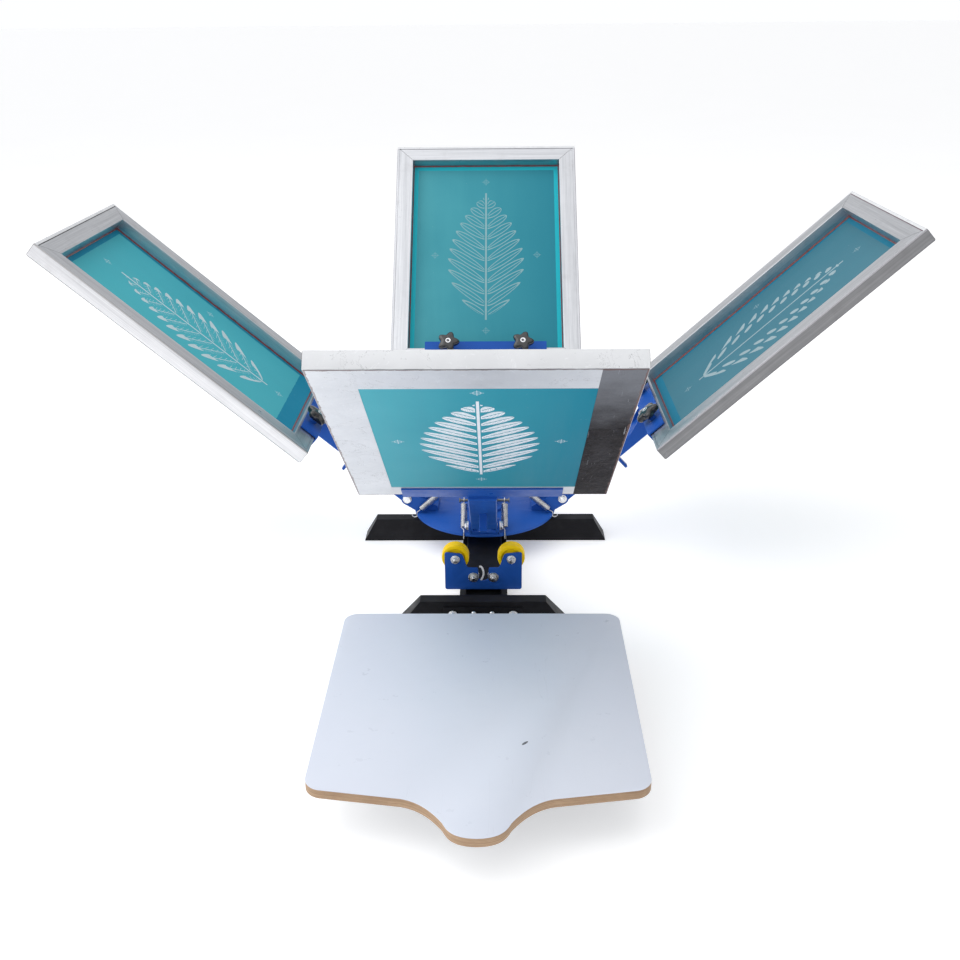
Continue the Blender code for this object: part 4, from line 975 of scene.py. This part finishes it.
def coil_spring(name, sx, th):
    """Close-wound extension spring with a hook at each end, in the turntable's head frame."""
    c, s = math.cos(th), math.sin(th)
    top = Vector((sx * SPRING_X, PIVOT_R + TAIL_Y * c - TAIL_Z * s, PIVOT_Z + TAIL_Y * s + TAIL_Z * c))
    foot = Vector((sx * SPRING_X, HOOK_R, DISC_TOP + 0.0012))
    u = (top - foot).normalized()
    sd = Vector((1, 0, 0))
    w = u.cross(sd).normalized()
    length = (top - foot).length
    wire = 0.00115
    rc = 0.0072 - wire
    loop = 0.0030 + wire + 0.0009
    start, end = 0.0130, length - loop - 0.0042
    turns = int((end - start) / (2 * wire * 1.04))
    key = []
    below = DISC_TOP - DISC_T - 0.0024
    key += [Vector((foot.x, DISC_R + 0.0040, DISC_TOP - DISC_T + 0.0030)), Vector((foot.x, DISC_R + 0.0032, DISC_TOP - DISC_T - 0.0002)),
            Vector((foot.x, DISC_R - 0.0006, below - 0.0006)), Vector((foot.x, HOOK_R + 0.0022, below - 0.0002)),
            Vector((foot.x, HOOK_R + 0.0002, below + 0.0018)), Vector((foot.x, HOOK_R, DISC_TOP - DISC_T / 2)),
            Vector((foot.x, HOOK_R - 0.0003, DISC_TOP + 0.0022)), foot + u * 0.0062, foot + u * 0.0100 + sd * rc * 0.45,
            foot + u * (start - 0.0006) + sd * rc * 0.93]
    pts = curve_through(key, 5)[:-1]
    per = 18
    for i in range(turns * per + 1):
        a = 2 * math.pi * i / per
        pts.append(foot + u * (start + (end - start) * i / (turns * per)) + rc * (math.cos(a) * sd + math.sin(a) * w))
    tail = [foot + u * (end + 0.0010) + sd * rc * 0.75 + w * rc * 0.35, foot + u * (end + 0.0028) + sd * rc * 0.2]
    for k in range(15):
        a = math.radians(-8 + 316 * k / 14)
        tail.append(top + loop * (math.cos(a + math.pi) * u + math.sin(a + math.pi) * w))
    pts += curve_through(tail, 4)[1:]
    return tube(name, pts, wire, SPRING_STEEL, None, 10, 70)


# ---------------------------------------------------------------------- heads
def star_knob(name, matrix, boss):
    """Five-lobed knob: soft waisted lobes, a crowned top and a steel insert."""
    n = 100
    levels = [(0.0104, 0.80), (0.0108, 0.875), (0.0122, 0.945), (0.0145, 0.985), (0.0175, 1.0), (0.0205, 0.985), (0.0228, 0.935), (0.0242, 0.855),
              (0.0250, 0.74), (0.0256, 0.58), (0.0262, 0.42)]
    bm = bmesh.new()
    rings = []
    for z, k in levels:
        ring = []
        for i in range(n):
            a = 2 * math.pi * i / n
            lobe = max(0.0, min(1.0, (k - 0.40) / 0.60))
            r = (0.0225 + 0.0045 * math.cos(5 * a) * lobe) * k
            ring.append(bm.verts.new((r * math.cos(a), r * math.sin(a), z)))
        rings.append(ring)
    for p, q in zip(rings, rings[1:]):
        for i in range(n):
            j = (i + 1) % n
            bm.faces.new((p[i], p[j], q[j], q[i]))
    bm.faces.new(rings[0][::-1])
    bm.faces.new(rings[-1])
    bmesh.ops.recalc_face_normals(bm, faces=bm.faces)
    body = new_object("k", bm, PHENOLIC, None, 50)
    neck = turned("n", [(0.0, 0.0076), (0.0094, 0.0076), (0.0102, 0.0082), (0.0112, 0.0118), (0.0, 0.0118)], PHENOLIC, None, 48)
    insert = turned("i", [(0.0, 0.0258), (0.0058, 0.0258), (0.0062, 0.0264), (0.0060, 0.0268), (0.0040, 0.0268), (0.0034, 0.0262), (0.0, 0.0262)], ZINC, None, 40)
    screw = threaded("s", 0.0040, -CLAMP_T - 0.0010 - boss, 0.0085, (0, 0), "z", ZINC)
    return merge(name, [body, neck, insert, screw], matrix=matrix)


def frame_ring(name, profile, material, sharp=30, y0=ARM_REACH, w=FRAME_W, length=FRAME_L, jitter=0.0, seg=1, seed=1):
    """A profile of (inward distance, height) swept round the screen's rectangle with mitred corners."""
    bm = bmesh.new()
    path = []
    cs = [(-1, 0), (1, 0), (1, 1), (-1, 1)]
    for c in range(4):
        a, b = cs[c], cs[(c + 1) % 4]
        for k in range(seg):
            t = k / seg
            path.append((a, b, t))
    rings = []
    for idx, (a, b, t) in enumerate(path):
        ring = []
        for d, z in profile:
            pa = Vector((a[0] * (w / 2 - d), y0 + (d if a[1] == 0 else length - d), z))
            pb = Vector((b[0] * (w / 2 - d), y0 + (d if b[1] == 0 else length - d), z))
            p = pa.lerp(pb, t)
            if jitter:
                q = noise.noise(Vector((p.x * 60 + seed, p.y * 60, seed * 3.1))) * jitter
                p.z += abs(q)
            ring.append(bm.verts.new(p))
        rings.append(ring)
    n, m = len(profile), len(rings)
    for k in range(m):
        p, q = rings[k], rings[(k + 1) % m]
        for i in range(n):
            j = (i + 1) % n
            bm.faces.new((p[i], q[i], q[j], p[j]))
    bmesh.ops.recalc_face_normals(bm, faces=bm.faces)
    return new_object(name, bm, material, None, sharp)


def creased_strip(name, lo, hi, z, thick, nx, ny, amp, seed, material):
    """A length of film tape: a thin closed slab whose face carries creases."""
    bm = bmesh.new()
    top, bot = {}, {}
    for i in range(nx + 1):
        for j in range(ny + 1):
            x = lo[0] + (hi[0] - lo[0]) * i / nx
            y = lo[1] + (hi[1] - lo[1]) * j / ny
            q = noise.fractal(Vector((x * 42 + seed, y * 30, seed)), 0.9, 2.1, 4)
            r = noise.noise(Vector((x * 9 + seed, y * 7, seed)))
            h = max(0.0, min(1.0, 0.5 + 0.35 * q + 0.3 * r)) * amp
            top[i, j] = bm.verts.new((x, y, z))
            bot[i, j] = bm.verts.new((x, y, z - thick - h))
    for i in range(nx):
        for j in range(ny):
            bm.faces.new((top[i, j], top[i + 1, j], top[i + 1, j + 1], top[i, j + 1]))
            bm.faces.new((bot[i, j], bot[i, j + 1], bot[i + 1, j + 1], bot[i + 1, j]))
    for i in range(nx):
        bm.faces.new((top[i, 0], bot[i, 0], bot[i + 1, 0], top[i + 1, 0]))
        bm.faces.new((top[i, ny], top[i + 1, ny], bot[i + 1, ny], bot[i, ny]))
    for j in range(ny):
        bm.faces.new((top[0, j], top[0, j + 1], bot[0, j + 1], bot[0, j]))
        bm.faces.new((top[nx, j], bot[nx, j], bot[nx, j + 1], top[nx, j + 1]))
    bmesh.ops.recalc_face_normals(bm, faces=bm.faces)
    return new_object(name, bm, material, None, 30)


base_z = DROP + MESH_T + GAP
FRAME_PROFILE = rounded([(0.0, 0.0), (0.0, FRAME_T), (0.0052, FRAME_T), (0.0056, FRAME_T - 0.0011), (0.0068, FRAME_T - 0.0011), (0.0072, FRAME_T),
                         (FRAME_B, FRAME_T), (FRAME_B, 0.0)],
                        [0.0011, 0.0016, 0.0002, 0.0002, 0.0002, 0.0002, 0.0016, 0.0012], 4)

for name in HEADS:
    M = head_frame(name)
    body = "head_" + name
    th = math.radians(RAISE[name])
    flange_low = DROP - GAP - CLAMP_T
    flange_top = DROP + MESH_T + GAP + FRAME_T + 0.0015

    dress("hinge_bracket_" + name, BLUE, 0.0005)
    dress("clamp_arm_" + name, BLUE, 0.0006)
    dress("spring_rod_" + name, ROD_STEEL, 0.0004)

    # pivot bolt
    xo = ARM_W / 2 + 0.0006 + 0.004 + GAP
    parts = [disc_solid("s", 0.0050, -xo - 0.002, xo + 0.004, (0, 0), "x", ZINC, 40),
             disc_solid("w", 0.0095, -xo - 0.0015, -xo, (0, 0), "x", ZINC),
             hex_head("h", 0.015, -xo - 0.0015, -xo - 0.0066, (0, 0), "x", ZINC),
             disc_solid("w", 0.0095, xo, xo + 0.0015, (0, 0), "x", ZINC),
             hex_head("n", 0.015, xo + 0.0015, xo + 0.0064, (0, 0), "x", ZINC),
             threaded("t", 0.0050, xo + 0.003, xo + 0.0082, (0, 0), "x", ZINC)]
    done(merge("pivot_axle_" + name, parts, matrix=head_frame(name, False)), "turntable", "zinc_steel", "pivot_bolt_" + name)

    # springs stretch between the turntable and the head
    flat = PRESS @ Matrix.Rotation(math.radians(AZIMUTH[name]), 4, "Z")
    c, s = math.cos(th), math.sin(th)
    for sd, sx in (("left", -1), ("right", 1)):
        sp = coil_spring("coil_%s_%s" % (name, sd), sx, th)
        sp.data.transform(flat)
        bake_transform(sp)
        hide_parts("spring_%s_%s" % (name, sd))

    # knobs
    for sd, sx in (("left", -1), ("right", 1)):
        reach, boss = JAW[name]
        kn = star_knob("star_%s_%s" % (name, sd), M @ Matrix.Translation((sx * KNOB_X, ARM_REACH + reach, flange_top + CLAMP_T + boss)), boss)
        done(kn, "knob_%s_%s" % (name, sd), "black_plastic", "knob_%s_%s" % (name, sd))

    # frame
    fr = frame_ring("frame_bars_" + name, [(d, z + base_z) for d, z in FRAME_PROFILE], ALUMINIUM[name])
    fr.matrix_world = M
    done(fr, body, "aluminium", "screen_frame_" + name)
    # glue bead along the foot of the inner walls
    bead = frame_ring("glue_bead_" + name, [(FRAME_B + 0.00005, DROP + MESH_T + 0.0001), (FRAME_B + 0.0024, DROP + MESH_T + 0.0001),
                                            (FRAME_B + 0.0016, DROP + MESH_T + 0.0008), (FRAME_B + 0.00005, DROP + MESH_T + 0.0030)],
                      GLUE, 60, jitter=0.0018, seg=60, seed=HEADS.index(name) + 1)
    bead.matrix_world = M
    done(bead, body, "stencil_mesh")

    # stretched mesh
    bm = bmesh.new()
    w2, y0, y1 = FRAME_W / 2 - MESH_INSET, ARM_REACH + MESH_INSET, ARM_REACH + FRAME_L - MESH_INSET
    bmesh.ops.create_grid(bm, x_segments=40, y_segments=56, size=1.0)
    for v in bm.verts:
        v.co = Vector((v.co.x * w2, (y0 + y1) / 2 + v.co.y * (y1 - y0) / 2, DROP + MESH_T / 2))
    cloth = new_object("stretched_mesh_" + name, bm, STENCIL[name], M, smooth=True)
    sol = cloth.modifiers.new("thickness", "SOLIDIFY")
    sol.thickness, sol.offset = 0.0003, 0.0
    apply_mods(cloth)
    cloth.data.shade_smooth()
    cloth.data.set_sharp_from_angle(angle=math.radians(35))
    done(cloth, body, "stencil_mesh", "screen_mesh_" + name)

    # tape on the print side, one strip a side, and a band over the free end
    zt = DROP + MESH_T / 2 - 0.00018
    k, W2, L1 = ARM_REACH, FRAME_W / 2, ARM_REACH + FRAME_L
    widths = {"free": 0.072, "hinge": 0.050, "low": 0.066, "high": 0.062}
    strips = [creased_strip("a", (-W2 + 0.0012, k + 0.0012), (-W2 + widths["high"], L1 - 0.0012), zt, 0.00034, 16, 120, 0.00022, 3.0 + HEADS.index(name), TAPE_PAINTED_DARK_REFLECTION if name == "front" else TAPE_LIGHT),
              creased_strip("b", (W2 - widths["low"], k + 0.0012), (W2 - 0.0012, L1 - 0.0012), zt, 0.00034, 16, 120, 0.00018, 11.0 + HEADS.index(name), TAPE_LIGHT),
              creased_strip("c", (-W2 + 0.002, L1 - widths["free"]), (W2 - 0.002, L1 - 0.0012), zt - 0.00012, 0.00006, 90, 16, 0.00016, 19.0 + HEADS.index(name), TAPE_LIGHT),
              creased_strip("d", (-W2 + 0.002, k + 0.0012), (W2 - 0.002, k + widths["hinge"]), zt - 0.00004, 0.00004, 90, 12, 0.00006, 27.0 + HEADS.index(name), TAPE_LIGHT)]
    done(merge("print_side_tape_" + name, strips, matrix=M), body, "aluminium")
    wrap = [(0.0065, base_z + FRAME_T + 0.00012), (0.0010, base_z + FRAME_T + 0.00014), (0.0002, base_z + FRAME_T - 0.0004), (-0.00016, base_z + FRAME_T - 0.0014),
            (-0.00018, base_z + 0.0016), (0.0002, base_z + 0.0004), (0.0012, base_z - 0.0001)]
    bm = bmesh.new()
    nseg = 140
    outer, inner = [], []
    for i in range(nseg + 1):
        x = -W2 + 0.0004 + (FRAME_W - 0.0008) * i / nseg
        ro, ri = [], []
        for q, (d, z) in enumerate(wrap):
            n1 = noise.fractal(Vector((x * 40, q * 0.9 + 5.0 * HEADS.index(name), 1.7)), 0.8, 2.0, 3)
            lift = 0.00010 + 0.00022 * max(0.0, 0.4 + n1)
            nrm = Vector((0, 1, 0)) if 2 <= q <= 5 else (Vector((0, 0, 1)) if q < 2 else Vector((0, 0.3, -0.9)))
            p = Vector((x, L1 - d, z))
            ri.append(bm.verts.new(p))
            ro.append(bm.verts.new(p + nrm * lift))
        outer.append(ro)
        inner.append(ri)
    nq = len(wrap)
    for i in range(nseg):
        for q in range(nq - 1):
            bm.faces.new((outer[i][q], outer[i + 1][q], outer[i + 1][q + 1], outer[i][q + 1]))
            bm.faces.new((inner[i][q], inner[i][q + 1], inner[i + 1][q + 1], inner[i + 1][q]))
        for q, flip in ((0, False), (nq - 1, True)):
            f = (outer[i][q], inner[i][q], inner[i + 1][q], outer[i + 1][q])
            bm.faces.new(f if not flip else f[::-1])
    for i in (0, nseg):
        for q in range(nq - 1):
            bm.faces.new((outer[i][q], outer[i][q + 1], inner[i][q + 1], inner[i][q]))
    bmesh.ops.recalc_face_normals(bm, faces=bm.faces)
    band = new_object("free_end_tape_" + name, bm, TAPE_EDGE, M, 40)
    done(band, body, "aluminium")

# --------------------------------------------------- floor, light and camera
def floor_material():
    m = Mat("pale_floor", 0.0, 0.75)
    m.colour(m.mix(m.span(m.noise(1.2, 4.0, 0.5), 0.3, 0.7, 0.0, 1.0), (0.94, 0.94, 0.945), (0.92, 0.92, 0.925)))
    m.bump((m.noise(60.0, 3.0, 0.5), 0.03, 0.001))
    m.b.inputs["Emission Color"].default_value = (1.0, 1.0, 1.0, 1.0)
    m.b.inputs["Emission Strength"].default_value = 0.30
    return m.m


bm = bmesh.new()
bmesh.ops.create_grid(bm, x_segments=2, y_segments=2, size=160.0)
floor = new_object("studio_floor", bm, floor_material(), Matrix.Translation((0, 0, -0.0004)), smooth=False)

world = bpy.data.worlds.new("soft_studio")
bpy.context.scene.world = world
world.use_nodes = True
bg = world.node_tree.nodes["Background"]
tc = world.node_tree.nodes.new("ShaderNodeTexCoord")
sep = world.node_tree.nodes.new("ShaderNodeSeparateXYZ")
world.node_tree.links.new(tc.outputs["Generated"], sep.inputs[0])
wn = world.node_tree


def world_ramp(socket, a, b, low, high, gain=None):
    mr = wn.nodes.new("ShaderNodeMapRange")
    wn.links.new(socket, mr.inputs["Value"])
    for key, v in (("From Min", a), ("From Max", b), ("To Min", low), ("To Max", high)):
        mr.inputs[key].default_value = v
    return mr.outputs[0]


side_tone = world_ramp(sep.outputs["X"], -0.75, 0.75, 1.0, 0.46)
horizon = world_ramp(sep.outputs["Z"], 0.02, 0.09, 1.0, 0.0)
mixn = wn.nodes.new("ShaderNodeMix")
mixn.data_type = "FLOAT"
wn.links.new(horizon, mixn.inputs[0])
wn.links.new(side_tone, mixn.inputs[2])
mixn.inputs[3].default_value = 1.02
wn.links.new(mixn.outputs[0], bg.inputs["Strength"])
bg.inputs["Color"].default_value = (0.975, 0.985, 1.0, 1.0)


def area_light(name, at, target, size, power, colour=(1, 1, 1)):
    d = bpy.data.lights.new(name, "AREA")
    d.shape, d.size, d.size_y = "RECTANGLE", size[0], size[1]
    d.energy, d.color = power, colour
    o = bpy.data.objects.new(name, d)
    scene_link(o)
    o.location = at
    o.rotation_euler = (Vector(target) - Vector(at)).to_track_quat("-Z", "Y").to_euler()
    return o


area_light("key", (-2.9, -0.3, 3.1), (0, 0.0, 0.3), (4.2, 4.2), 66, (1.0, 0.99, 0.97))
area_light("ceiling", (0.3, -0.4, 4.2), (0.1, -0.1, 0.3), (5.0, 5.0), 50)

F, CX, CY, CZ, YAW, PITCH, ROLL = 1126.14, 0.0292 + AX, -2.2668 + AY, 1.0633, 0.0175, 0.3940, -0.0093
fw = Vector((-math.sin(YAW) * math.cos(PITCH), math.cos(YAW) * math.cos(PITCH), -math.sin(PITCH)))
rt = Vector((math.cos(YAW), math.sin(YAW), 0))
up = rt.cross(fw)
r2 = math.cos(ROLL) * rt + math.sin(ROLL) * up
u2 = -math.sin(ROLL) * rt + math.cos(ROLL) * up
cam_data = bpy.data.cameras.new("camera")
cam_data.sensor_width = 36.0
cam_data.lens = F * 36.0 / 960.0
cam_data.clip_start, cam_data.clip_end = 0.01, 100.0
cam = bpy.data.objects.new("camera", cam_data)
scene_link(cam)
cam.matrix_world = Matrix(((r2.x, u2.x, -fw.x, CX), (r2.y, u2.y, -fw.y, CY), (r2.z, u2.z, -fw.z, CZ), (0, 0, 0, 1)))
bpy.context.scene.camera = cam
bpy.context.scene.view_settings.view_transform = "Standard"
